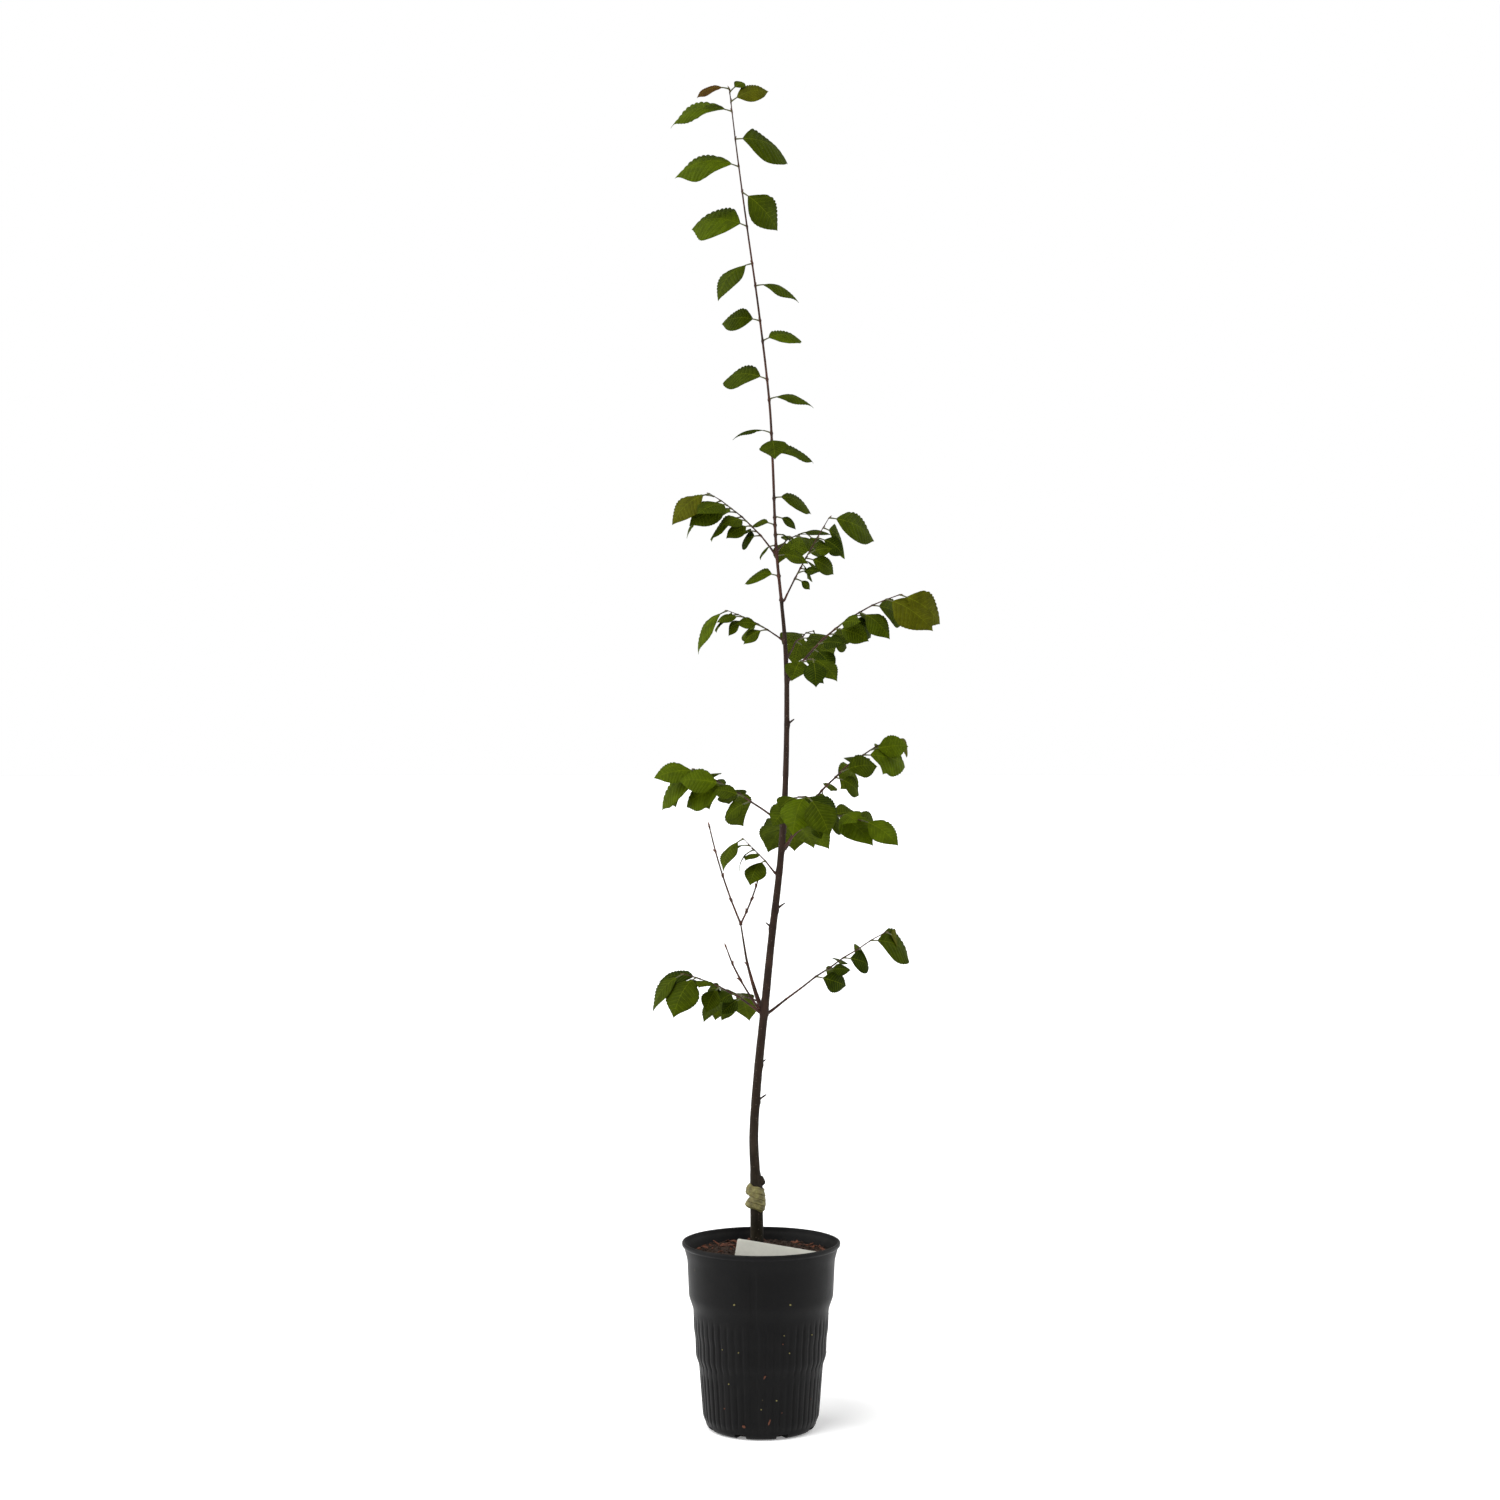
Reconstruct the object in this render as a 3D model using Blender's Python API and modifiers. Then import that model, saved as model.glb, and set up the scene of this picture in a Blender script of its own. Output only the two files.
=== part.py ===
"""Young Japanese beech in its nursery pot, at real size.

Metres, +Z up, +Y away from the viewer. The origin is the middle of the pot's flat underside.
The stem, the boughs and the leafy shoots grow from the few sizes in the tables below.
"""

import math
import random
from collections import namedtuple

import bmesh
import bpy
from mathutils import Matrix, Vector
from mathutils.bvhtree import BVHTree

MM = 0.001
CLEAR = 0.3 * MM

# Pot: outer radius at each corner of the wall, from the underside up, in millimetres.
POT_OUTLINE = (
    (0.0, 47.5),
    (3.0, 51.0),
    (12.0, 54.8),
    (60.0, 58.6),
    (68.0, 61.5),
    (85.0, 62.1),
    (93.0, 63.4),
    (112.0, 64.0),
    (124.0, 68.2),
    (158.0, 69.8),
    (170.0, 73.0),
    (171.5, 75.0),
    (175.0, 75.0),
)
POT_WALL = 1.6 * MM
POT_FLOOR = 2.2 * MM
POT_STEPS = 48
SLOT_COUNT = 8
SLOT_WIDTH = 11 * MM
SLOT_HEIGHT = 4.5 * MM
SLOT_INNER = 40 * MM
SLOT_OUTER = 62 * MM
SLOT_TURN = 22.5

# Potting mix, up to a little under the lip.
SOIL_TOP = 165 * MM
SOIL_CROWN = 3 * MM

# Blank plant label, pushed into the mix on a slant in front of the stem.
LABEL_THICKNESS = 0.6 * MM
LABEL_DEPTH = -15 * MM
LABEL_LEFT = -22 * MM
LABEL_RIGHT = 58 * MM
LABEL_TOP = 180 * MM
LABEL_SLANT = 9.6

# Stem: height, sideways place, depth and radius, from the foot to the tip, in millimetres.
Station = namedtuple("Station", "height x y radius")
STEM = (
    Station(165.3, -4.0, 0.0, 7.8),
    Station(170, -4.0, 0.0, 6.8),
    Station(180, -4.0, 0.0, 6.2),
    Station(228, -4.6, 0.0, 6.0),
    Station(242, -5.6, 0.4, 4.6),
    Station(275, -6.8, 1.0, 4.3),
    Station(330, -3.2, 0.5, 4.1),
    Station(393, 3.2, -1.0, 3.9),
    Station(460, 10.0, 0.0, 3.5),
    Station(530, 18.0, 2.0, 3.2),
    Station(600, 22.8, 3.0, 2.85),
    Station(690, 24.4, 2.0, 2.4),
    Station(740, 22.6, 0.0, 2.0),
    Station(778, 19.2, -1.0, 1.6),
    Station(830, 14.2, -1.0, 1.4),
    Station(905, 11.2, 0.0, 1.25),
    Station(965, 8.0, 1.0, 1.15),
    Station(1050, -1.8, 1.0, 1.0),
    Station(1130, -13.0, 0.0, 0.85),
    Station(1200, -22.5, -1.0, 0.7),
    Station(1262, -30.0, -2.0, 0.5),
)
FORK_HEIGHT = 778 * MM
LEADER_SPLIT = 900 * MM
STEM_STEP = 28 * MM

# Graft: the cut stub of the rootstock, and the tape wound round the union under it.
STUB_HEIGHT = 229.5 * MM
STUB_RADIUS = 4.4 * MM
STUB_LENGTH = 7.8 * MM
STUB_LEAN = 65
STUB_SINK = 2 * MM
STUB_BEVEL = 0.8 * MM
WRAP_LOW = 203 * MM
WRAP_HIGH = 225 * MM
WRAP_THICKNESS = 2.5 * MM
WRAP_TURNS = 4
WRAP_GROOVE = 0.28
WRAP_STEPS = 20

# Short spurs left on the stem: height in millimetres, azimuth in degrees, length in millimetres.
SPURS = ((306, -10, 8.0), (341, 15, 4.0), (470, 160, 5.0), (487, 5, 8.0), (662, -15, 6.0))
SPUR_RADIUS = 0.9 * MM
SPUR_RISE = 35

# Shoots off the stem. Heights and lengths are in millimetres, angles in degrees. Azimuth 0 is +X
# and 90 is +Y, sag is how far the shoot turns down along its length, bare is the length with no
# leaves, blades are the leaves' lengths from the foot of the shoot, side is that of the first, and
# rolls are how far the upper sides of the first and the last turn from the sky to the viewer.
Shoot = namedtuple("Shoot", "name height azimuth rise sag length radius bare blades side rolls")
SHOOTS = (
    Shoot("low_left", 391, 208, 37, 22, 90, 1.1, 12, (22, 28, 26, 38, 46, 42), 1, (70, 20)),
    Shoot("low_right", 390, 28, 33, 8, 148, 1.1, 44, (30, 24, 32, 34, 54, 34), -1, (70, 50)),
    Shoot("low_bare", 394, 195, 52, -18, 67, 1.1, 30, (), 1, (0, 0)),
    Shoot("low_fork", 398, 150, 66, -18, 82, 1.7, 78, (), 1, (0, 0)),
    Shoot("low_back", 398, 116, 10, 16, 80, 0.9, 20, (28, 34, 38, 34), 1, (-30, -30)),
    Shoot("mid_low_left", 522, 200, 49, 8, 46, 0.8, 0, (30, 20, 34), 1, (30, 10)),
    Shoot("mid_right_upper", 545, 34, 60, 42, 168, 1.3, 50, (20, 30, 44, 52, 46, 28), 1, (60, 50)),
    Shoot("mid_back", 552, 82, 22, 26, 108, 1.0, 24, (30, 40, 48, 46, 40), 1, (-25, -25)),
    Shoot("mid_right_lower", 548, -30, 54, 74, 90, 1.1, 20, (16, 28, 46, 32, 38), -1, (60, 55)),
    Shoot("mid_left", 570, 152, 34, 12, 106, 1.1, 22, (26, 48, 46, 52, 56, 54), 1, (65, 30)),
    Shoot("mid_front", 586, -76, 16, 20, 84, 0.9, 12, (34, 42, 46, 40), -1, (45, 45)),
    Shoot("high_front", 710, -72, 22, 26, 74, 0.9, 10, (26, 30, 32, 28), 1, (40, 40)),
    Shoot("high_right", 705, -20, 56, 41, 136, 1.2, 22, (26, 28, 30, 34, 34, 42, 50, 46), -1, (60, 60)),
    Shoot("high_back", 724, 72, 32, 26, 94, 0.9, 22, (28, 34, 42, 40), -1, (-25, -25)),
    Shoot("high_left", 742, 168, 37, 18, 60, 0.8, 6, (22, 26, 20, 32, 50), 1, (60, 25)),
    Shoot("top_right", 779, 10, 64, 6, 90, 0.9, 12, (12, 26, 28, 24, 26, 50, 50), -1, (60, 50)),
    Shoot("top_back", 826, 66, 30, 28, 78, 0.8, 16, (24, 28, 32, 28), 1, (-20, -20)),
    Shoot("top_left", 824, 198, 52, 24, 84, 0.9, 8, (28, 24, 40, 40, 46, 42), -1, (70, 20)),
)

# Arms of the bare forked shoot, from its end: sideways lean, depth lean and length.
FORK_ARMS = ((-22, 8, 97), (25, -6, 52))
FORK_ARM_STRAIGHTENING = 0.12
FORK_ARM_TAPER = 0.08
BARE_JOINTS = 4

# Leaves on the leader, up it: height and blade length in millimetres, and in degrees the azimuth,
# the slope down from foot to tip and the roll.
LeaderLeaf = namedtuple("LeaderLeaf", "height azimuth blade fall roll")
LEADER = (
    LeaderLeaf(802, 170, 34, 16, 40),
    LeaderLeaf(821, -30, 26, 24, 44),
    LeaderLeaf(831, 150, 22, 34, 36),
    LeaderLeaf(841, 20, 16, 24, 34),
    LeaderLeaf(850, 168, 22, 8, 36),
    LeaderLeaf(858, -20, 18, 40, 44),
    LeaderLeaf(876, 8, 40, 26, 44),
    LeaderLeaf(916, 15, 44, 10, 30),
    LeaderLeaf(929, -88, 38, 30, 64),
    LeaderLeaf(937, 190, 33, 11, 8),
    LeaderLeaf(969, -18, 39, 15, 26),
    LeaderLeaf(988, 172, 50, 12, 52),
    LeaderLeaf(1024, 12, 44, 4, 38),
    LeaderLeaf(1043, 186, 37, 19, 62),
    LeaderLeaf(1076, -14, 40, 24, 26),
    LeaderLeaf(1097, 205, 47, 48, 16),
    LeaderLeaf(1132, 174, 64, 10, 52),
    LeaderLeaf(1164, -24, 46, 68, 64),
    LeaderLeaf(1188, 186, 62, 13, 40),
    LeaderLeaf(1214, 8, 62, 28, 60),
    LeaderLeaf(1240, 176, 64, 15, 33),
    LeaderLeaf(1258, -6, 16, -14, 60),
    LeaderLeaf(1249, -22, 35, 2, 58),
    LeaderLeaf(1261, 196, 27, 20, 30),
)

# Leaf: shares of the blade's length, and how it stands.
BLADE_WIDTH = 0.74
BLADE_THICKNESS = 0.018
BLADE_STATIONS = (0.15, 0.4, 0.7)
BLADE_CUP = 0.14
PETIOLE_LENGTH = 7 * MM
PETIOLE_RADIUS = 0.6 * MM
ARCH = 75

# How leaves and shoots stand, in degrees: the spread from the shoot falls from its foot to its tip.
SIDE_PITCH = -5
END_LEAF_PITCH = -14
FOOT_SPREAD = 42
TIP_SPREAD = 22
END_LEAF_SPREAD = 11
SPREAD_SWAY = 9
SWAY = 10
ZIGZAG = 7
SHOOT_TAPER = 0.6

# Bevel resolution of the round pieces: 0 gives 4 sides, and each step 2 more.
STEM_SIDES = 4
STUB_SIDES = 2
BOUGH_SIDES = 1
TWIG_SIDES = 0

MATERIALS = {
    "pot_plastic": ((0.018, 0.018, 0.020), 0.55),
    "potting_mix": ((0.060, 0.032, 0.020), 0.95),
    "label_plastic": ((0.62, 0.62, 0.58), 0.45),
    "graft_tape": ((0.34, 0.34, 0.19), 0.60),
    "bark": ((0.065, 0.046, 0.036), 0.70),
    "leaf": ((0.048, 0.072, 0.004), 0.50),
}


def clear_scene():
    for old in list(bpy.data.objects):
        bpy.data.objects.remove(old)


def new_collection(name):
    collection = bpy.data.collections.new(name)
    bpy.context.scene.collection.children.link(collection)
    return collection


def make_material(name):
    colour, roughness = MATERIALS[name]
    material = bpy.data.materials.new(name)
    material.use_nodes = True
    shader = material.node_tree.nodes["Principled BSDF"]
    shader.inputs["Base Color"].default_value = (*colour, 1.0)
    shader.inputs["Roughness"].default_value = roughness
    shader.inputs["Metallic"].default_value = 0.0
    return material


def add_object(name, data, material, collection):
    obj = bpy.data.objects.new(name, data)
    obj.data.materials.append(material)
    collection.objects.link(obj)
    return obj


def evaluated_mesh(obj):
    bpy.context.view_layer.update()
    graph = bpy.context.evaluated_depsgraph_get()
    return bpy.data.meshes.new_from_object(obj.evaluated_get(graph), depsgraph=graph)


def spline_curve(name, points, radii, resolution):
    """A round tube along points, with a radius at each and flat capped ends."""
    curve = bpy.data.curves.new(name, "CURVE")
    curve.dimensions = "3D"
    curve.bevel_depth = MM
    curve.bevel_resolution = resolution
    curve.use_fill_caps = True
    spline = curve.splines.new("POLY")
    spline.points.add(len(points) - 1)
    for point, place, radius in zip(spline.points, points, radii):
        point.co = (*place, 1.0)
        point.radius = radius / MM
    return curve


def tube(name, points, radii, resolution, material, collection):
    """The tube as a closed mesh object, its caps welded."""
    curve = spline_curve(name, points, radii, resolution)
    drawn = add_object(name, curve, material, collection)
    mesh = evaluated_mesh(drawn)
    bpy.data.objects.remove(drawn)
    bpy.data.curves.remove(curve)
    work = bmesh.new()
    work.from_mesh(mesh)
    bmesh.ops.remove_doubles(work, verts=work.verts, dist=0.01 * MM)
    bmesh.ops.recalc_face_normals(work, faces=work.faces)
    work.to_mesh(mesh)
    work.free()
    mesh.materials.clear()
    return add_object(name, mesh, material, collection)


def fuse(body, pieces):
    """Joins the pieces to body with one Boolean union on their collection, applied."""
    joined = new_collection(body.name + "_pieces")
    for piece in pieces:
        for holder in list(piece.users_collection):
            holder.objects.unlink(piece)
        joined.objects.link(piece)
    union = body.modifiers.new("join", "BOOLEAN")
    union.operation = "UNION"
    union.operand_type = "COLLECTION"
    union.collection = joined
    union.solver = "MANIFOLD"
    mesh = evaluated_mesh(body)
    body.modifiers.remove(union)
    body.data = mesh
    for piece in pieces:
        bpy.data.objects.remove(piece)
    bpy.data.collections.remove(joined)
    return body


def turned(name, outline, steps, material, collection):
    """A solid of revolution about Z: the outline is (radius, height), down its outer side."""
    mesh = bpy.data.meshes.new(name)
    edges = [(i, i + 1) for i in range(len(outline) - 1)]
    mesh.from_pydata([(radius, 0.0, height) for radius, height in outline], edges, [])
    obj = add_object(name, mesh, material, collection)
    screw = obj.modifiers.new("turn", "SCREW")
    screw.steps = steps
    screw.render_steps = steps
    screw.use_merge_vertices = True
    screw.merge_threshold = 0.00005
    return obj


def pot_radius(height):
    """Outer radius of the pot's wall at a height."""
    for (low, inner), (high, outer) in zip(POT_OUTLINE, POT_OUTLINE[1:]):
        if height <= high * MM:
            share = (height / MM - low) / (high - low)
            return (inner + (outer - inner) * share) * MM
    return POT_OUTLINE[-1][1] * MM


def cavity(gap, floor, top):
    """Radius and height up the pot's inner wall, from floor to top, a gap inside the wall."""
    heights = [floor]
    heights += [z * MM for z, _ in POT_OUTLINE if floor + MM < z * MM < top]
    heights.append(top)
    return [(pot_radius(z) - POT_WALL - gap, z) for z in heights]


def make_pot(material, collection, cutters):
    height = POT_OUTLINE[-1][0] * MM
    inside = [(0.0, POT_FLOOR)] + cavity(0.0, POT_FLOOR, height)
    outside = [(radius * MM, z * MM) for z, radius in reversed(POT_OUTLINE)] + [(0.0, 0.0)]
    pot = turned("pot", inside + outside, POT_STEPS, material, collection)
    for k in range(SLOT_COUNT):
        work = bmesh.new()
        bmesh.ops.create_cube(work, size=1.0)
        size = (SLOT_OUTER - SLOT_INNER, SLOT_WIDTH, 2 * SLOT_HEIGHT)
        bmesh.ops.scale(work, vec=size, verts=work.verts)
        middle = Vector(((SLOT_OUTER + SLOT_INNER) / 2, 0.0, 0.0))
        bmesh.ops.translate(work, vec=middle, verts=work.verts)
        turn = Matrix.Rotation(math.radians(360 / SLOT_COUNT * k + SLOT_TURN), 3, "Z")
        bmesh.ops.rotate(work, cent=(0, 0, 0), matrix=turn, verts=work.verts)
        mesh = bpy.data.meshes.new("drain_slot_cutter")
        work.to_mesh(mesh)
        work.free()
        cutter = bpy.data.objects.new(f"drain_slot_cutter_{k + 1}", mesh)
        cutter.hide_render = True
        cutter.display_type = "WIRE"
        cutters.objects.link(cutter)
    cut = pot.modifiers.new("drain_slots", "BOOLEAN")
    cut.operation = "DIFFERENCE"
    cut.operand_type = "COLLECTION"
    cut.collection = cutters
    cut.solver = "EXACT"
    return pot


def make_soil(material, collection):
    floor = POT_FLOOR + CLEAR
    side = cavity(CLEAR, floor, SOIL_TOP - SOIL_CROWN)
    inner, edge = 0.8 * side[-1][0], side[-1]
    outline = [(0.0, SOIL_TOP), (inner, SOIL_TOP), edge] + side[-2::-1] + [(0.0, floor)]
    return turned("potting_mix", outline, POT_STEPS, material, collection)


def make_label(material, collection):
    """A blank tag whose lower edge rests on the mix, drawn flat and stood upright."""
    slope = math.tan(math.radians(LABEL_SLANT))
    foot = SOIL_TOP + CLEAR
    right_top = LABEL_TOP - (LABEL_RIGHT - LABEL_LEFT) * slope
    corners = (
        (LABEL_LEFT, LABEL_TOP),
        (LABEL_LEFT - (LABEL_TOP - foot) * slope, foot),
        (LABEL_RIGHT, foot),
        (LABEL_RIGHT, right_top),
    )
    curve = bpy.data.curves.new("plant_label", "CURVE")
    curve.dimensions = "2D"
    curve.fill_mode = "BOTH"
    curve.extrude = LABEL_THICKNESS / 2
    spline = curve.splines.new("POLY")
    spline.points.add(len(corners) - 1)
    spline.use_cyclic_u = True
    for point, (x, z) in zip(spline.points, corners):
        point.co = (x, z, 0.0, 1.0)
    label = add_object("plant_label", curve, material, collection)
    label.location = (0.0, LABEL_DEPTH, 0.0)
    label.rotation_euler = (math.radians(90), 0.0, 0.0)
    return label


def stem_at(height):
    """Centre and radius of the stem at a height, smooth through the stations."""
    h = height / MM
    last = len(STEM) - 2
    k = next((i for i in range(last) if h <= STEM[i + 1].height), last)
    low, high = STEM[k], STEM[k + 1]
    before, after = STEM[max(k - 1, 0)], STEM[min(k + 2, last + 1)]
    span = high.height - low.height
    t = min(max((h - low.height) / span, 0.0), 1.0)
    centre = []
    for axis in ("x", "y"):
        a, b = getattr(low, axis), getattr(high, axis)
        slope_a = (b - getattr(before, axis)) / (high.height - before.height)
        slope_b = (getattr(after, axis) - a) / (after.height - low.height)
        centre.append(
            (2 * t**3 - 3 * t**2 + 1) * a
            + (t**3 - 2 * t**2 + t) * span * slope_a
            + (3 * t**2 - 2 * t**3) * b
            + (t**3 - t**2) * span * slope_b
        )
    radius = low.radius + (high.radius - low.radius) * t
    return Vector((centre[0], centre[1], h)) * MM, radius * MM


def stem_run(low, high):
    """Points and radii up the stem, with every station between low and high among them."""
    heights = {low, high}
    stations = [s.height * MM for s in STEM if low < s.height * MM < high]
    marks = [low, *stations, high]
    for a, b in zip(marks, marks[1:]):
        count = max(1, round((b - a) / STEM_STEP))
        heights.update(a + (b - a) * i / count for i in range(count))
    found = [stem_at(h) for h in sorted(heights)]
    return [p for p, _ in found], [r for _, r in found]


def direction(azimuth, elevation):
    a, e = math.radians(azimuth), math.radians(elevation)
    return Vector((math.cos(a) * math.cos(e), math.sin(a) * math.cos(e), math.sin(e)))


def make_trunk(material, collection):
    """The stem up to its fork, with the rootstock's stub and the short spurs fused on."""
    low = STEM[0].height * MM
    points, radii = stem_run(low, FORK_HEIGHT)
    trunk = tube("trunk", points, radii, STEM_SIDES, material, collection)
    foot, _ = stem_at(STUB_HEIGHT)
    lean = direction(0, 90 - STUB_LEAN)
    ends = [foot + lean * along for along in (-STUB_SINK, STUB_LENGTH, STUB_LENGTH + STUB_BEVEL)]
    radii = [STUB_RADIUS, STUB_RADIUS, STUB_RADIUS - STUB_BEVEL]
    pieces = [tube("stub", ends, radii, STUB_SIDES, material, collection)]
    for height, azimuth, length in SPURS:
        foot, radius = stem_at(height * MM)
        ends = [foot, foot + direction(azimuth, SPUR_RISE) * (radius + length * MM)]
        radii = [SPUR_RADIUS, 0.5 * SPUR_RADIUS]
        pieces.append(tube("spur", ends, radii, TWIG_SIDES, material, collection))
    return fuse(trunk, pieces)


def make_wrap(material, collection):
    """Grafting tape: a turned sleeve with a bulge for each turn, standing clear of the bark."""
    middle, radius = stem_at((WRAP_LOW + WRAP_HIGH) / 2)
    inner = radius + 2 * CLEAR
    half = (WRAP_HIGH - WRAP_LOW) / 2
    outline = [(inner, half)]
    for k in range(2 * WRAP_TURNS + 1):
        bulge = 1.0 if k % 2 else 1.0 - WRAP_GROOVE
        outline.append((inner + WRAP_THICKNESS * bulge, half * (1 - k / WRAP_TURNS)))
    outline += [(inner, -half), (inner, half)]
    wrap = turned("graft_wrap", outline, WRAP_STEPS, material, collection)
    wrap.location = middle
    below, _ = stem_at(WRAP_LOW)
    above, _ = stem_at(WRAP_HIGH)
    wrap.rotation_mode = "QUATERNION"
    wrap.rotation_quaternion = (above - below).to_track_quat("Z", "Y")
    return wrap


def shoot_run(shoot):
    """Points, radii and the distance along of each, from the bark to the shoot's tip.

    The shoot leans from rise down by sag, and turns left and right a little at each leaf.
    """
    centre, bark = stem_at(shoot.height * MM)
    radius = shoot.radius * MM
    out = direction(shoot.azimuth, 0)
    tilt = math.sin(math.radians(shoot.rise))
    place = centre + out * (bark + CLEAR + radius * tilt)
    marks = leaf_marks(shoot) or [shoot.length * MM * k / BARE_JOINTS for k in range(1, BARE_JOINTS + 1)]
    bare = [shoot.bare * MM * share for share in (0.0, 0.5, 1.0)] if shoot.bare else [0.0]
    stops = bare + [mark for mark in marks if mark > bare[-1]]
    points, radii = [place], [radius]
    for k, (a, b) in enumerate(zip(stops, stops[1:])):
        share = (a + b) / 2 / (shoot.length * MM)
        turn = 0.0 if b <= shoot.bare * MM else ZIGZAG * (-1) ** k
        along = direction(shoot.azimuth + turn, shoot.rise - shoot.sag * share)
        place = place + along * (b - a)
        points.append(place)
        radii.append(radius * (1 - SHOOT_TAPER * b / (shoot.length * MM)))
    return points, radii, stops


def leaf_marks(shoot):
    """How far along the shoot each leaf stands, the last one at its tip."""
    count = len(shoot.blades)
    leafy = (shoot.length - shoot.bare) * MM
    return [shoot.bare * MM + leafy * (k + 1) / count for k in range(count)]


Leaf = namedtuple("Leaf", "root heading upper blade arch")


def upper_side(heading, roll):
    """Where the blade's upper side looks: square to its heading, rolled from the sky to -Y."""
    tilt = math.radians(roll)
    side = heading.cross(Vector((0.0, -math.sin(tilt), math.cos(tilt)))).normalized()
    return side.cross(heading)


def shoot_leaves(shoot, points, stops):
    """Leaves in two ranks along a side shoot, hanging a little, the last one at the tip."""
    rng = random.Random(shoot.name)
    leaves = []
    for k, (mark, blade) in enumerate(zip(leaf_marks(shoot), shoot.blades)):
        at = min(range(len(stops)), key=lambda i: abs(stops[i] - mark))
        share = (k + 1) / len(shoot.blades)
        spread, pitch = FOOT_SPREAD + (TIP_SPREAD - FOOT_SPREAD) * share, SIDE_PITCH
        if share == 1.0:
            spread, pitch = END_LEAF_SPREAD, END_LEAF_PITCH
        swing = shoot.side * (-1) ** k * spread + rng.uniform(-SPREAD_SWAY, SPREAD_SWAY)
        heading = direction(shoot.azimuth + swing, pitch + rng.uniform(-SWAY, SWAY))
        roll = shoot.rolls[0] + (shoot.rolls[1] - shoot.rolls[0]) * share
        upper = upper_side(heading, roll + rng.uniform(-SWAY, SWAY))
        arch = ARCH + rng.uniform(-SWAY, SWAY)
        leaves.append(Leaf(points[at], heading, upper, blade * MM, arch))
    return leaves


def leader_leaves(low, high):
    """The leader's own leaves between two heights, each held out and arching down."""
    leaves = []
    for row in LEADER:
        if low <= row.height * MM < high:
            root, _ = stem_at(row.height * MM)
            heading = direction(row.azimuth, ARCH / 2 - row.fall)
            upper = upper_side(heading, row.roll)
            leaves.append(Leaf(root, heading, upper, row.blade * MM, ARCH))
    return leaves


def blade_shape(t):
    """Half width of the blade as a share of its greatest, from its foot 0 to its tip 1."""
    return math.sin(math.pi * t**0.9)


def leaf_mesh(leaf, material, collection):
    """A closed blade with its stalk: a loft of flat diamonds, widest below the middle."""
    across = leaf.heading.cross(leaf.upper).normalized()
    half = leaf.blade * BLADE_WIDTH / 2
    thick = leaf.blade * BLADE_THICKNESS / 2
    rings = [(0.0, PETIOLE_RADIUS, PETIOLE_RADIUS), (PETIOLE_LENGTH, PETIOLE_RADIUS, PETIOLE_RADIUS)]
    rings += [
        (PETIOLE_LENGTH + t * leaf.blade, half * blade_shape(t), thick) for t in BLADE_STATIONS
    ]
    total = PETIOLE_LENGTH + leaf.blade
    work = bmesh.new()
    place, before, loops = leaf.root.copy(), 0.0, []
    for along, width, deep in [*rings, (total, 0.0, 0.0)]:
        bend = math.radians(leaf.arch) * ((along + before) / 2 / total)
        place = place + (leaf.heading * math.cos(bend) - leaf.upper * math.sin(bend)) * (along - before)
        before = along
        bend = math.radians(leaf.arch) * along / total
        up = leaf.upper * math.cos(bend) + leaf.heading * math.sin(bend)
        if width == 0.0:
            tip = work.verts.new(place)
            continue
        edge = -up * BLADE_CUP * width if width > PETIOLE_RADIUS else Vector()
        corners = (place - across * width + edge, place + up * deep)
        corners += (place + across * width + edge, place - up * deep)
        loops.append([work.verts.new(corner) for corner in corners])
    work.faces.new(loops[0])
    for low, high in zip(loops, loops[1:]):
        for i in range(4):
            work.faces.new((low[i], low[i - 1], high[i - 1], high[i]))
    for i in range(4):
        work.faces.new((loops[-1][i], loops[-1][i - 1], tip))
    bmesh.ops.triangulate(work, faces=work.faces)
    bmesh.ops.recalc_face_normals(work, faces=work.faces)
    mesh = bpy.data.meshes.new("leaf")
    work.to_mesh(mesh)
    work.free()
    return add_object("leaf", mesh, material, collection)


def space_of(obj):
    """The object's surface, for telling whether a leaf would touch it."""
    mesh = evaluated_mesh(obj) if obj.modifiers else obj.data
    places = [obj.matrix_world @ vert.co for vert in mesh.vertices]
    return BVHTree.FromPolygons(places, [face.vertices[:] for face in mesh.polygons])


def make_mass(name, stem_piece, leaves, taken, materials, collection):
    """One leafy mass: its stem with every leaf that touches nothing else fused on."""
    pieces = []
    for leaf in leaves:
        piece = leaf_mesh(leaf, materials["leaf"], collection)
        if any(space_of(piece).overlap(space) for space in taken.values()):
            print(f"{name}: leaf {leaves.index(leaf) + 1} is skipped")
            bpy.data.objects.remove(piece)
            continue
        pieces.append(piece)
    mass = fuse(stem_piece, pieces) if pieces else stem_piece
    mass.data.materials.clear()
    mass.data.materials.append(materials["leaf"] if leaves else materials["bark"])
    taken[name] = space_of(mass)
    return mass


def split_run(points, radii, stops, at):
    """The part of a run before a distance, and the part after it that starts a gap further on."""
    k = next((i for i, stop in enumerate(stops) if stop >= at - 1e-6), len(stops) - 1)
    onward = (points[k + 1] - points[k]).normalized()
    rest = [points[k] + onward * CLEAR] + points[k + 1 :]
    return (points[: k + 1], radii[: k + 1]), (rest, radii[k:])


def fork_arms(start, radius, materials, collection):
    """The two bare arms of the forked shoot, as one piece from a common foot."""
    arms = []
    for sideways, deep, length in FORK_ARMS:
        points, radii, place = [start], [radius], start
        for k in range(BARE_JOINTS):
            straight = 1 - FORK_ARM_STRAIGHTENING * k
            lean = Vector((
                math.sin(math.radians(sideways * straight)),
                math.sin(math.radians(deep)),
                math.cos(math.radians(sideways * straight)),
            ))
            place = place + lean * length * MM / BARE_JOINTS
            points.append(place)
            radii.append(radius * (1 - FORK_ARM_TAPER * (k + 1)))
        arms.append(tube("arm", points, radii, TWIG_SIDES, materials["bark"], collection))
    arms[0].name = "twigs_low_fork"
    return fuse(arms[0], arms[1:])


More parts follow.
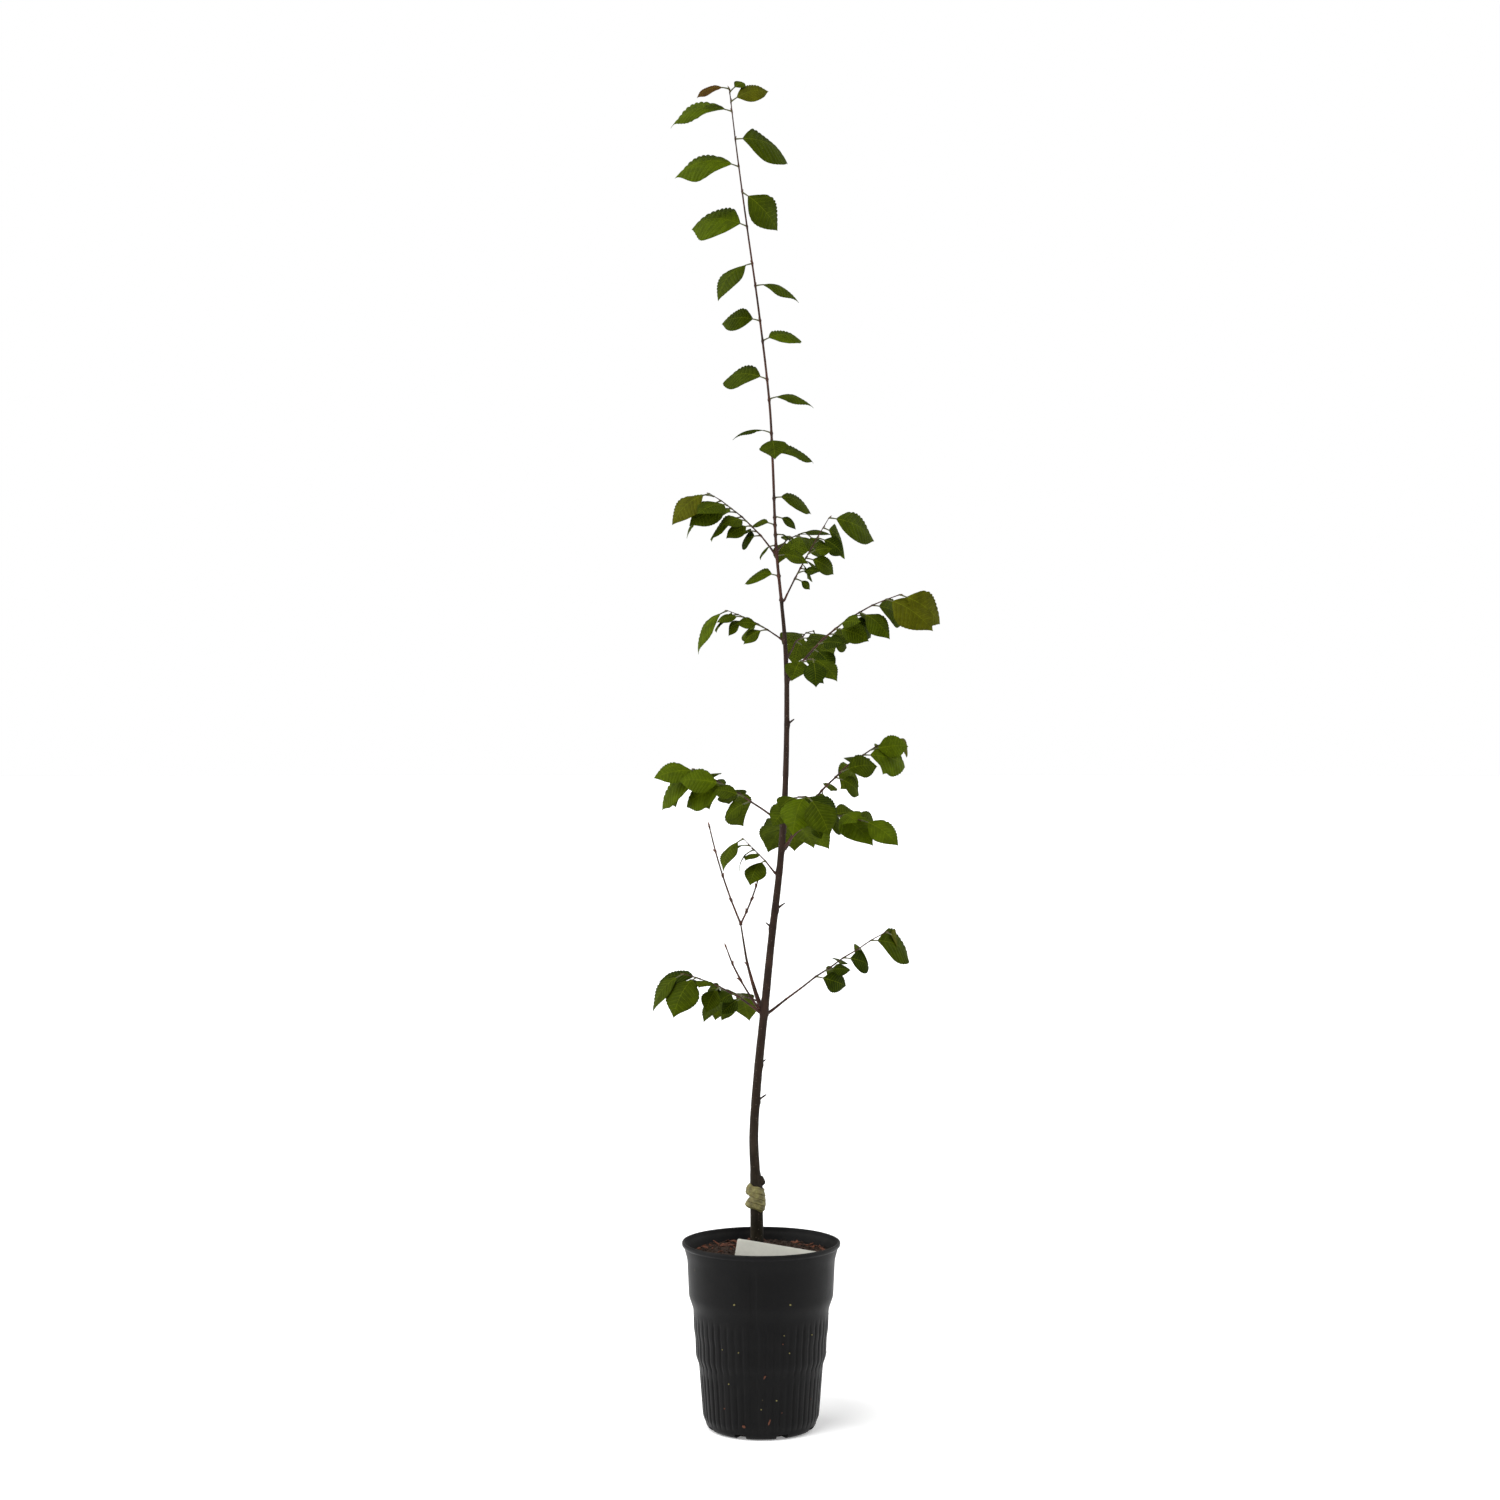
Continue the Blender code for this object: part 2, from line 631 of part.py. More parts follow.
def grow(taken, materials, collection):
    """Boughs first, then the masses of leaves on them, then the leader's two masses."""
    runs = {}
    for shoot in SHOOTS:
        points, radii, stops = shoot_run(shoot)
        rest = (points, radii)
        if shoot.bare:
            limb, rest = split_run(points, radii, stops, shoot.bare * MM)
            bough = tube("bough_" + shoot.name, *limb, BOUGH_SIDES, materials["bark"], collection)
            taken[bough.name] = space_of(bough)
        runs[shoot.name] = (rest, points, stops)
    for shoot in SHOOTS:
        rest, points, stops = runs[shoot.name]
        if shoot.name == "low_fork":
            arms = fork_arms(rest[0][0], rest[1][0], materials, collection)
            taken[arms.name] = space_of(arms)
            continue
        name = ("spray_" if shoot.blades else "twigs_") + shoot.name
        stem_piece = tube(name, *rest, TWIG_SIDES, materials["bark"], collection)
        leaves = shoot_leaves(shoot, points, stops)
        make_mass(name, stem_piece, leaves, taken, materials, collection)
    top = STEM[-1].height * MM
    for name, low, high in (
        ("leader_middle", FORK_HEIGHT + CLEAR, LEADER_SPLIT - CLEAR),
        ("leader_top", LEADER_SPLIT, top),
    ):
        points, radii = stem_run(low, high)
        stem_piece = tube(name, points, radii, BOUGH_SIDES, materials["bark"], collection)
        make_mass(name, stem_piece, leader_leaves(low, high), taken, materials, collection)


def main():
    clear_scene()
    plant = new_collection("potted_japanese_beech")
    cutters = new_collection("cutters")
    materials = {name: make_material(name) for name in MATERIALS}
    trunk = make_trunk(materials["bark"], plant)
    grow({"trunk": space_of(trunk)}, materials, plant)
    make_wrap(materials["graft_tape"], plant)
    make_label(materials["label_plastic"], plant)
    make_soil(materials["potting_mix"], plant)
    make_pot(materials["pot_plastic"], plant, cutters)


main()
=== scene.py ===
"""Looks for a young Japanese beech in its nursery pot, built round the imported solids.

Metres, +Z up, +Y away from the viewer. The tables of the stem, the shoots and the leader's leaves,
and the rule by which they grow, are those of the solids, carried on to stalks, veins and buds.
"""

import math
import random
from collections import namedtuple

import bmesh
import bpy
from bpy.props import FloatProperty, FloatVectorProperty, IntProperty, PointerProperty
from mathutils import Matrix, Quaternion, Vector, noise


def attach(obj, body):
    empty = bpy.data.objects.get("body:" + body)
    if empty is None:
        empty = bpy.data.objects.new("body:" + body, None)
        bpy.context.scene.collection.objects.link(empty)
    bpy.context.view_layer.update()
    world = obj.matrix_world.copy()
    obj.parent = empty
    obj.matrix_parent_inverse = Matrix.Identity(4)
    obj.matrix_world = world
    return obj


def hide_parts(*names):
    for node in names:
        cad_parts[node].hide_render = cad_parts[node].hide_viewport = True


bl_info = {
    "name": "Potted Japanese Beech",
    "version": (1, 0, 0),
    "blender": (4, 5, 0),
    "location": "3D View > Sidebar > Beech",
    "description": "Dresses the solids of a young potted Japanese beech",
    "category": "Object",
}

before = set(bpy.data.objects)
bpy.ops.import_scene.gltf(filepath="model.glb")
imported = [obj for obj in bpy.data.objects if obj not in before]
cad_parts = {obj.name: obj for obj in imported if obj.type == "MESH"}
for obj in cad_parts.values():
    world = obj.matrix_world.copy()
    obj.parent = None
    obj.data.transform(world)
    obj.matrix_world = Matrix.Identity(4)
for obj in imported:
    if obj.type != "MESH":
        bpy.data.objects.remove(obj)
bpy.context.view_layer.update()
MM = 0.001
MASSES = [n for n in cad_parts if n.startswith(("spray_", "twigs_", "leader_"))]
BOUGHS = [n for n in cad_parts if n.startswith("bough_")]

# Down to the stage, lengths are in millimetres, and angles in degrees unless math.radians turns them.

# Pot: height and outer radius at each corner of the wall, from the underside up.
POT_OUTLINE = (
    (0.0, 47.5), (3.0, 51.0), (12.0, 54.8), (60.0, 58.6), (68.0, 61.5), (85.0, 62.1), (93.0, 63.4),
    (112.0, 64.0), (124.0, 68.2), (158.0, 69.8), (170.0, 73.0),
)
POT_WALL = 1.6
POT_ROUNDING = 1.6
POT_ROW = 2.9
POT_WALL_ENDS = (6.0, 169.0)
# Corners of the floor and of the rolled lip, outside and inside, as radius and height.
POT_FOOT = ((20, 0), (40, 0), (44, 0), (47.5, 0), (49.4, 0.9), (50.6, 2.0), (51.4, 3.2), (52.0, 4.5))
POT_WELL = (
    (20, 2.2), (40, 2.2), (44, 2.2), (46.2, 2.3), (47.8, 2.8), (49.0, 3.5), (49.8, 4.2), (50.4, 5.0),
)
POT_LIP = (
    (73.0, 170.0), (74.0, 170.5), (74.8, 171.4), (75.0, 172.6), (74.9, 173.9), (74.3, 174.7),
    (73.6, 175.0),
)
POT_MOUTH = (
    (71.4, 170.0), (71.7, 170.8), (72.0, 171.6), (72.2, 172.5), (72.4, 173.4), (72.6, 174.2),
    (72.9, 174.8),
)
# Drain slots, open between two rows of the foot's corners.
SLOT_COUNT = 8
SLOT_COLUMNS = 10
BETWEEN_COLUMNS = 50
SLOT_HALF = math.radians(6.3)
SLOT_TURN = math.radians(22.5)
SLOT_ROWS = (1, 7)
# Flutes, between these heights, and how far they fade out at each end.
FLUTED = ((7, 55), (57, 107))
FLUTE_FADE = 4.0
# The mould's seam up the front.
SEAM_ANGLE = math.radians(-96.5)
SEAM_HALF = math.radians(3.2)
SEAM_REACH = (10.0, 160.0)
SEAM_DEPTH = 0.8
# Bits stuck to the front of the pot, from its left: place along and up, width, height, and 0 for
# a chip of bark or 1 for moss. Others are strewn round the back.
STUCK_BITS = (
    (-36, 84, 1.3, 1.5, 1), (-34, 28, 2.0, 1.8, 0), (-30, 52, 1.8, 1.5, 1), (-25, 128, 2.3, 2.3, 1),
    (-21, 83, 1.3, 1.6, 1), (-16, 13, 4.2, 3.0, 0), (0, 30, 1.6, 1.4, 1), (3, 60, 1.8, 4.6, 0),
    (7.5, 18, 1.9, 6.4, 0), (14, 38, 1.8, 1.5, 1), (19, 26, 1.5, 1.5, 0), (21, 99, 1.4, 1.4, 1),
    (20, 91, 1.5, 1.7, 0), (26, 82, 1.6, 1.6, 1), (26.7, 128, 2.0, 2.2, 1), (46, 34, 1.5, 1.7, 0),
    (47, 96, 1.3, 1.5, 1),
)
STUCK_ELSEWHERE = 26

# Potting mix.
SOIL_TOP = 165.0
SOIL_CROWN = 3.0
SOIL_FALLS = (50.0, 71.0)
SOIL_FLOOR = 2.5
SOIL_GAP = 0.3
SOIL_RELIEF = 1.3
SOIL_DIP = 3.9
SOIL_RIM = 162.0
SOIL_RINGS = 34
SOIL_REACH = 69.0
CRUMB_SIZES = (0.4, 1.2)
CRUMB_BEFORE_TAG = 0.8
CHIP_LENGTH = 1.4
CHIP_SPREAD = 4.6
HEAP_SHARE = 0.72
HEAP_WIDTH = 6.0
HEAP_DEPTH = 5.0

# Blank tag in front of the stem.
TAG_DEPTH = -15.0
TAG_LEFT = -22.0
TAG_RIGHT = 58.0
TAG_TOP = 180.0
TAG_FOOT = 160.5
TAG_THICKNESS = 0.6
TAG_SLANT = math.tan(math.radians(9.6))
TAG_CORNER = 1.6
TAG_COLUMNS = 30
TAG_ROWS = 8

# Stem, from its foot to its tip. It forks where its node ends, and the leader goes on above.
Station = namedtuple("Station", "height x y radius")
STEM = [Station(*row) for row in (
    (165.3, -4.0, 0.0, 7.8), (170, -4.0, 0.0, 6.8), (180, -4.0, 0.0, 6.2), (228, -4.6, 0.0, 6.0),
    (242, -5.6, 0.4, 4.6), (275, -6.8, 1.0, 4.3), (330, -3.2, 0.5, 4.1), (393, 3.2, -1.0, 3.9),
    (460, 10.0, 0.0, 3.5), (530, 18.0, 2.0, 3.2), (600, 22.8, 3.0, 2.85), (690, 24.4, 2.0, 2.4),
    (740, 22.6, 0.0, 2.0), (778, 19.2, -1.0, 1.6), (830, 14.2, -1.0, 1.4), (905, 11.2, 0.0, 1.25),
    (965, 8.0, 1.0, 1.15), (1050, -1.8, 1.0, 1.0), (1130, -13.0, 0.0, 0.85),
    (1200, -22.5, -1.0, 0.7), (1262, -30.0, -2.0, 0.5),
)]
STEM_FOOT = 161.0
FORK_HEIGHT = 778.0
STEM_ROW = 1.5
STEM_REACH = 8.2
ROUGH_BARK_TOP = 240
YOUNG_RELIEF = 0.38
JOINT_REACH = 9
JOINT_SWELLING = 0.8
JOINT_RING = 0.10
OLD_BARK_TOP = 215
YOUNG_BARK_FOOT = 400
CLEAR = 0.3

# Graft: the rootstock's cut stub, with its outline from foot to healed end as shares of its length
# and radius, and the tape wound under it. Lumps: height, the way it faces, its spread up and round,
# and its rise.
STUB_HEIGHT = 229.5
STUB_RADIUS = 4.4
STUB_LENGTH = 8.6
STUB_LEAN = 65
STUB_OUTLINE = (
    (-0.2, 1.05), (0.2, 1.08), (0.5, 1.05), (0.68, 1.02), (0.82, 0.96), (0.92, 0.84), (0.985, 0.64),
    (1.0, 0.46), (0.985, 0.3), (0.97, 0.14),
)
WRAP_LOW = 203.0
WRAP_HIGH = 225.5
WRAP_LAYER = 1.5
WRAP_LAP = 0.2
WRAP_CREASE = 0.42
WRAP_SIDES = 72
WRAP_ROWS = 80
WRAP_LUMPS = (
    (222.5, 185, 5.0, 66, 2.9), (209.5, 180, 5.2, 74, 3.2), (216.4, 190, 1.8, 50, -2.6),
    (213.0, -10, 9.0, 70, 1.1), (219.0, -80, 5.0, 40, 0.9), (208.0, -70, 3.6, 50, 0.7),
    (212.0, 70, 6.0, 60, 1.0),
)

# Short spurs left on the stem: height, azimuth and length.
SPURS = ((306, -10, 8.0), (341, 15, 4.0), (470, 160, 5.0), (487, 5, 8.0), (662, -15, 6.0))
SPUR_RADIUS = 0.9
SPUR_RISE = 35

# Shoots off the stem. Azimuth 0 is +X and 90 is +Y, sag is how far the shoot turns down along its
# length, bare is the length with no leaves, side is that of the first leaf, rolls are how far the
# upper sides of the first and the last turn from the sky to the viewer, spurs is how many smaller
# leaves stand midway between the others, blades are the leaves' lengths from the foot of the
# shoot, and tints has a letter for each leaf.
# The letters d and b in tints give a leaf the leaf green with painted shade and with painted light.
Shoot = namedtuple(
    "Shoot", "name height azimuth rise sag length radius bare side rolls spurs blades tints"
)
SHOOTS = [Shoot(*row) for row in (
    ("low_left", 391, 208, 37, 22, 90, 1.1, 12, 1, (70, 20), 4, (22, 28, 26, 38, 46, 42), "ddmdmm"),
    ("low_right", 390, 28, 33, 8, 148, 1.1, 44, -1, (70, 50), 2, (30, 24, 32, 34, 54, 34), "dddmmo"),
    ("low_bare", 394, 195, 52, -18, 67, 1.1, 30, 1, (0, 0), 0, (), ""),
    ("low_fork", 398, 150, 66, -18, 82, 1.7, 78, 1, (0, 0), 0, (), ""),
    ("low_back", 398, 116, 10, 16, 80, 0.9, 20, 1, (-30, -30), 2, (28, 34, 38, 34), "dmdm"),
    ("mid_low_left", 522, 200, 49, 8, 46, 0.8, 0, 1, (30, 10), 2, (30, 20, 34), "mdm"),
    ("mid_right_upper", 545, 34, 60, 42, 168, 1.3, 50, 1, (60, 50), 4, (20, 30, 44, 52, 46, 28), "mmmbbo"),
    ("mid_back", 552, 82, 22, 26, 108, 1.0, 24, 1, (-25, -25), 3, (30, 40, 48, 46, 40), "dmmbm"),
    ("mid_right_lower", 548, -30, 54, 74, 90, 1.1, 20, -1, (60, 55), 3, (16, 28, 46, 32, 38), "dmbmb"),
    ("mid_left", 570, 152, 34, 12, 106, 1.1, 22, 1, (65, 30), 5, (26, 48, 46, 52, 56, 54), "mmbmbm"),
    ("mid_front", 586, -76, 16, 20, 84, 0.9, 12, -1, (45, 45), 1, (34, 42, 46, 40), "mdbm"),
    ("high_front", 710, -72, 22, 26, 74, 0.9, 10, 1, (40, 40), 1, (26, 30, 32, 28), "dmmd"),
    (
        "high_right", 705, -20, 56, 41, 136, 1.2, 22, -1, (60, 60), 4, (26, 28, 30, 34, 34, 42, 50, 46),
        "dmmdmmoo",
    ),
    ("high_back", 724, 72, 32, 26, 94, 0.9, 22, -1, (-25, -25), 2, (28, 34, 42, 40), "dmmb"),
    ("high_left", 742, 168, 37, 18, 60, 0.8, 6, 1, (60, 25), 3, (22, 26, 20, 32, 50), "mbmmb"),
    ("top_right", 779, 10, 64, 6, 90, 0.9, 12, -1, (60, 50), 4, (12, 26, 28, 24, 26, 50, 50), "dmmddbm"),
    ("top_back", 826, 66, 30, 28, 78, 0.8, 16, 1, (-20, -20), 2, (24, 28, 32, 28), "mdbm"),
    ("top_left", 824, 198, 52, 24, 84, 0.9, 8, -1, (70, 20), 5, (28, 24, 40, 40, 46, 42), "dmbmbo"),
)]
BARE, FORK = SHOOTS[2], SHOOTS[3]

# Arms of the bare forked shoot, from its end: sideways lean, depth lean and length.
FORK_ARMS = ((-22, 8, 97), (25, -6, 52))
FORK_ARM_STRAIGHTENING = 0.12
FORK_ARM_TAPER = 0.08
BARE_JOINTS = 4
BARE_GIRTH = 1.35

# Leaves on the leader, up it. fall is the slope down from foot to tip.
LeaderLeaf = namedtuple("LeaderLeaf", "height azimuth blade fall roll tint")
LEADER = [LeaderLeaf(*row) for row in (
    (802, 170, 34, 16, 40, "b"), (821, -30, 26, 24, 44, "m"), (831, 150, 22, 34, 36, "m"),
    (841, 20, 16, 24, 34, "d"), (850, 168, 22, 8, 36, "m"), (858, -20, 18, 40, 44, "d"),
    (876, 8, 40, 26, 44, "m"), (916, 15, 44, 10, 30, "m"), (929, -88, 38, 30, 64, "m"),
    (937, 190, 33, 11, 8, "d"), (969, -18, 39, 15, 26, "m"), (988, 172, 50, 12, 52, "m"),
    (1024, 12, 44, 4, 38, "b"), (1043, 186, 37, 19, 62, "m"), (1076, -14, 40, 24, 26, "m"),
    (1097, 205, 47, 48, 16, "m"), (1132, 174, 64, 10, 52, "b"), (1164, -24, 46, 68, 64, "m"),
    (1188, 186, 62, 13, 40, "b"), (1214, 8, 62, 28, 60, "m"), (1240, 176, 64, 15, 33, "b"),
    (1258, -6, 16, -14, 60, "m"), (1249, -22, 35, 2, 58, "o"), (1261, 196, 27, 20, 30, "r"),
)]
# The deep tint is the leaf green darkened with painted shade, and the bright one lightened with painted
# light.
TINTS = {"d": "deep", "m": "mid", "b": "bright", "o": "olive", "r": "russet"}
LEAVES_IN_PIECE = 65

# How leaves and twigs stand.
PETIOLE_LENGTH = 7.0
PETIOLE_RADIUS = 0.62
ARCH = 75
SIDE_PITCH = -5
SPREADS = (42, 22)
END_LEAF_SPREAD = 11
END_LEAF_PITCH = -14
SPREAD_SWAY = 9
SWAY = 10
SPUR_SPREAD = 44
SPUR_PITCH = 19
SPUR_ARCH = 58
ZIGZAG = 7
SHOOT_TAPER = 0.6
CURVE_SLACK = 0.6

# Blade: shares of its length or half width, unless the name ends in MM, and the finish of each face.
BLADE_WIDTH = 0.74
BLADE_CUP = 0.14
FIRST_VEIN = 0.035
LAST_VEIN = 0.90
VEIN_LEAN = 0.3
VEIN_LEAN_START = 0.08
CELL_STOPS = (0.25, 0.5, 0.75)
ACROSS = (0.0, 0.12, 0.3, 0.5, 0.7, 0.88, 1.0)
TIP_PINCH_START = 0.7
TIP_PINCH = 0.4
CRENATION = 0.028
WAVE = 0.016
WAVE_COUNT = 8
MIDRIB_TAPER = 0.75
MIDRIB_FADE = 0.7
SKIN_TAPER = 0.55
EDGE_DROP = 0.55
BLADE_SKIN_MM = 0.28
MIDRIB_MM = 0.42
VEIN_HALF_MM = 0.15
MIDRIB_RISE_MM = 0.45
VEIN_RISE_MM = 0.12
LEAST_HALF_MM = 0.12
UPPER, VEIN, UNDER = range(3)

# Stage, in metres, with each light's azimuth, elevation and width in the sky.
LIGHTS = {"key": (-125, 60, 28), "left": (188, 24, 80), "right": (4, 28, 80)}
FLOOR_REACH = 60
FLOOR_CORNERS = 64
CAMERA_PLACE = (-0.0104, -2.437, 0.638)
CAMERA_LENS = 62.0
CAMERA_SENSOR = 36.0

# ---------------------------------------------------------------- settings


def swatch(name, description, default):
    """A setting that holds a colour."""
    return FloatVectorProperty(
        name=name, description=description, default=default, size=3, subtype="COLOR", min=0, max=1
    )


def number(name, description, default, kind=FloatProperty, **more):
    """A setting that holds a number."""
    return kind(name=name, description=description, default=default, **more)


class BeechPotSettings(bpy.types.PropertyGroup):
    plastic: swatch("Plastic", "Colour of the pot's plastic", (0.0030, 0.0030, 0.0032))
    dust: swatch("Dust", "Colour of the dust on ledges", (0.040, 0.035, 0.028))
    flute_count: number("Flutes", "Shallow upright flutes round the lower tiers", 52, IntProperty, min=0)
    flute_depth: number("Flute depth", "Depth of a flute", 0.0013, unit="LENGTH")
    sway: number("Sway", "How far the thin wall is out of round", 0.0006, unit="LENGTH")


class BeechSoilSettings(bpy.types.PropertyGroup):
    mix: swatch("Mix", "Colour of the potting mix", (0.027, 0.015, 0.0095))
    chip: swatch("Bark chips", "Colour of the bark chips", (0.145, 0.043, 0.017))
    moss: swatch("Moss", "Colour of the moss stuck to the pot", (0.17, 0.15, 0.055))
    crumbs: number("Crumbs", "Number of crumbs on top", 1300, IntProperty, min=0)
    chips: number("Chips", "Number of bark chips on top", 110, IntProperty, min=0)
    heaps: number("Heaps", "Number of heaps the chips lie in", 11, IntProperty, min=1)


class BeechTagSettings(bpy.types.PropertyGroup):
    plastic: swatch("Plastic", "Colour of the blank tag", (0.90, 0.90, 0.80))
    bow: number("Bow", "How far the tag bows back", 0.0012, unit="LENGTH")


class BeechTapeSettings(bpy.types.PropertyGroup):
    film: swatch("Film", "Colour of the grafting tape", (0.178, 0.163, 0.060))
    turns: number("Turns", "Turns of tape round the union", 4.6, min=1)


class BeechBarkSettings(bpy.types.PropertyGroup):
    old: swatch("Old bark", "Colour of the rootstock's bark", (0.0095, 0.0070, 0.0028))
    young: swatch("Young bark", "Colour of the twigs' bark", (0.026, 0.014, 0.0095))
    tip: swatch("Young tips", "Colour of the youngest bark", (0.075, 0.026, 0.016))
    film: swatch("Grey film", "Colour of the thin grey outer skin", (0.033, 0.0235, 0.0165))
    bud: swatch("Buds", "Colour of the buds", (0.115, 0.045, 0.020))
    relief: number("Relief", "Depth of the bark's relief at the foot", 0.00028, unit="LENGTH")


class BeechLeafSettings(bpy.types.PropertyGroup):
    # The Deep swatch is the leaf green with painted shade, and the Bright swatch is the same green with
    # painted light.
    deep: swatch("Deep", "Colour of the shaded leaves", (0.0165, 0.028, 0.0004))
    mid: swatch("Mid", "Colour of most leaves", (0.033, 0.0485, 0.0004))
    bright: swatch("Bright", "Colour of the lit leaves", (0.053, 0.079, 0.0006))
    olive: swatch("Olive", "Colour of the turning leaves", (0.058, 0.061, 0.0012))
    russet: swatch("Russet", "Colour of the newest leaf", (0.055, 0.024, 0.0030))
    stalk: swatch("Stalks", "Colour of the leaf stalks", (0.062, 0.066, 0.010))
    vein_pairs: number("Vein pairs", "Side veins on each half", 9, IntProperty, min=3)
    pleat: number("Pleat", "Height of the folds between veins, as a share of length", 0.023)


class BeechStageSettings(bpy.types.PropertyGroup):
    floor: swatch("Floor", "Colour of the floor", (0.95, 0.95, 0.95))
    key: number("Key", "Strength of the key light", 1.6, min=0)
    left: number("Left", "Strength of the light from the left", 2.8, min=0)
    right: number("Right", "Strength of the light from the right", 1.9, min=0)
    sky: number("Sky", "Strength of the light from all round", 0.27, min=0)
    glow: number("Glow", "How brightly the floor itself shines", 0.22, min=0)


# ---------------------------------------------------------------- mesh helpers


class Shape:
    """Corners, faces and each face's finish, gathered until they become one mesh."""

    def __init__(self):
        self.corners, self.faces, self.finishes = [], [], []

    def corner(self, place):
        self.corners.append(tuple(place))
        return len(self.corners) - 1

    def face(self, corners, finish=0):
        self.faces.append(corners)
        self.finishes.append(finish)

    def strip(self, low, high):
        """Faces between two closed rings of corners."""
        for i in range(len(low)):
            self.face((low[i - 1], low[i], high[i], high[i - 1]))

    def fan(self, ring, middle):
        """Faces from a closed ring to one corner."""
        for i in range(len(ring)):
            self.face((ring[i - 1], ring[i], middle))

    def closed_rings(self, rings, finish=0):
        """A closed skin over rings of places, its ends fanned to their middles."""
        first = len(self.faces)
        loops = [[self.corner(place) for place in ring] for ring in rings]
        for low, high in zip(loops, loops[1:]):
            self.strip(low, high)
        for end in (0, -1):
            self.fan(loops[end], self.corner(sum(rings[end], Vector()) / len(rings[end])))
        self.finishes[first:] = [finish] * (len(self.faces) - first)


def make_piece(name, shape, materials, sharp=40):
    """The shape as an object with outward faces, smooth but for its sharp edges."""
    mesh = bpy.data.meshes.new(name)
    mesh.from_pydata(shape.corners, [], shape.faces)
    mesh.polygons.foreach_set("material_index", shape.finishes)
    work = bmesh.new()
    work.from_mesh(mesh)
    bmesh.ops.recalc_face_normals(work, faces=work.faces)
    work.to_mesh(mesh)
    work.free()
    mesh.shade_smooth()
    mesh.set_sharp_from_angle(angle=math.radians(sharp))
    for material in materials:
        mesh.materials.append(material)
    obj = bpy.data.objects.new(name, mesh)
    bpy.context.scene.collection.objects.link(obj)
    return obj


def settle(nodes, name, shape, materials, sharp=40):
    """Makes a piece with the given finishes that rides on the plant and stands for the nodes."""
    obj = make_piece(name, shape, materials, sharp)
    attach(obj, "root")
    if nodes:
        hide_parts(*nodes)


def circle(count, side, other):
    """Directions evenly round a circle, from side towards other."""
    angles = [2 * math.pi * k / count for k in range(count)]
    return [side * math.cos(angle) + other * math.sin(angle) for angle in angles]


def eased(t, a, slope_a, b, slope_b):
    """A smooth curve from a to b with its slope at each end, at the share t."""
    rise, fall = (t**3 - 2 * t**2 + t) * slope_a, (t**3 - t**2) * slope_b
    return (2 * t**3 - 3 * t**2 + 1) * a + rise + (3 * t**2 - 2 * t**3) * b + fall


def smooth_run(points, radii, step):
    """A fine smooth line through the points, its radii, and where each point falls on it."""
    fine, wide, marks = [], [], []
    last = len(points) - 1
    for k in range(last):
        a, b = points[k], points[k + 1]
        before, after = points[max(k - 1, 0)], points[min(k + 2, last)]
        span = (b - a).length
        straight = (b - a) * (1 - CURVE_SLACK)
        slope_a = (b - before) / (span + (a - before).length) * span * CURVE_SLACK + straight
        slope_b = (after - a) / (span + (after - b).length) * span * CURVE_SLACK + straight
        count = max(2, round(span / step))
        marks.append(len(fine))
        for t in [i / count for i in range(count)]:
            fine.append(eased(t, a, slope_a, b, slope_b))
            wide.append(radii[k] + (radii[k + 1] - radii[k]) * t)
    return [*fine, points[-1]], [*wide, radii[-1]], [*marks, len(fine)]


def add_tube(shape, points, radii, sides, relief=None, rounded=True):
    """A round tube along the points. relief gives the rise of the skin at a place facing out."""
    last = len(points) - 1
    tangents = [(points[min(i + 1, last)] - points[max(i - 1, 0)]).normalized() for i in range(last + 1)]
    side = tangents[0].orthogonal().normalized()
    rings = []
    for place, radius, tangent in zip(points, radii, tangents):
        side = (side - tangent * side.dot(tangent)).normalized()
        outs = circle(sides, side, tangent.cross(side))
        rings.append([place + out * (radius + (relief(place, out) if relief else 0.0)) for out in outs])
    if rounded:
        for share, along in ((0.75, 0.55), (0.35, 0.85)):
            onward = tangents[-1] * radii[-1] * along
            rings.append([points[-1] + (p - points[-1]) * share + onward for p in rings[last]])
    shape.closed_rings(rings)


def add_bud(shape, foot, axis, length, radius, sides=6):
    """A slender pointed bud, plumpest low down."""
    axis = axis.normalized()
    side = axis.orthogonal().normalized()
    outs = circle(sides, side, axis.cross(side))
    profile = ((0.0, 0.55), (0.18, 0.9), (0.38, 1.0), (0.62, 0.72), (0.85, 0.32), (0.98, 0.06))
    shape.closed_rings(
        [[foot + axis * length * along + out * radius * wide for out in outs] for along, wide in profile]
    )


def smooth_step(low, high, x):
    """0 up to low, 1 from high on, and a soft ramp between them."""
    t = min(max((x - low) / (high - low), 0.0), 1.0)
    return t * t * (3 - 2 * t)


def nearest(values, target):
    return min(range(len(values)), key=lambda i: abs(values[i] - target))


def between(ends, share):
    return ends[0] + (ends[1] - ends[0]) * share


# ---------------------------------------------------------------- rule of growth


def stem_at(height):
    """Centre and radius of the stem at a height in millimetres, smooth through the stations."""
    last = len(STEM) - 2
    k = next((i for i in range(last) if height <= STEM[i + 1].height), last)
    before, low, high, after = (STEM[i] for i in (max(k - 1, 0), k, k + 1, min(k + 2, last + 1)))
    span = high.height - low.height
    t = min(max((height - low.height) / span, 0.0), 1.0)
    centre = []
    for axis in (1, 2):
        slope_a = span * (high[axis] - before[axis]) / (high.height - before.height)
        slope_b = span * (after[axis] - low[axis]) / (after.height - low.height)
        centre.append(eased(t, low[axis], slope_a, high[axis], slope_b))
    return Vector((*centre, height)) * MM, between((low.radius, high.radius), t) * MM


def direction(azimuth, elevation):
    """The unit vector that points that way, by angles in degrees."""
    a, e = math.radians(azimuth), math.radians(elevation)
    return Vector((math.cos(a) * math.cos(e), math.sin(a) * math.cos(e), math.sin(e)))


def leaf_marks(shoot):
    """How far along the shoot each leaf stands, the last one at its tip."""
    count = len(shoot.blades)
    leafy = (shoot.length - shoot.bare) * MM
    return [shoot.bare * MM + leafy * (k + 1) / count for k in range(count)]


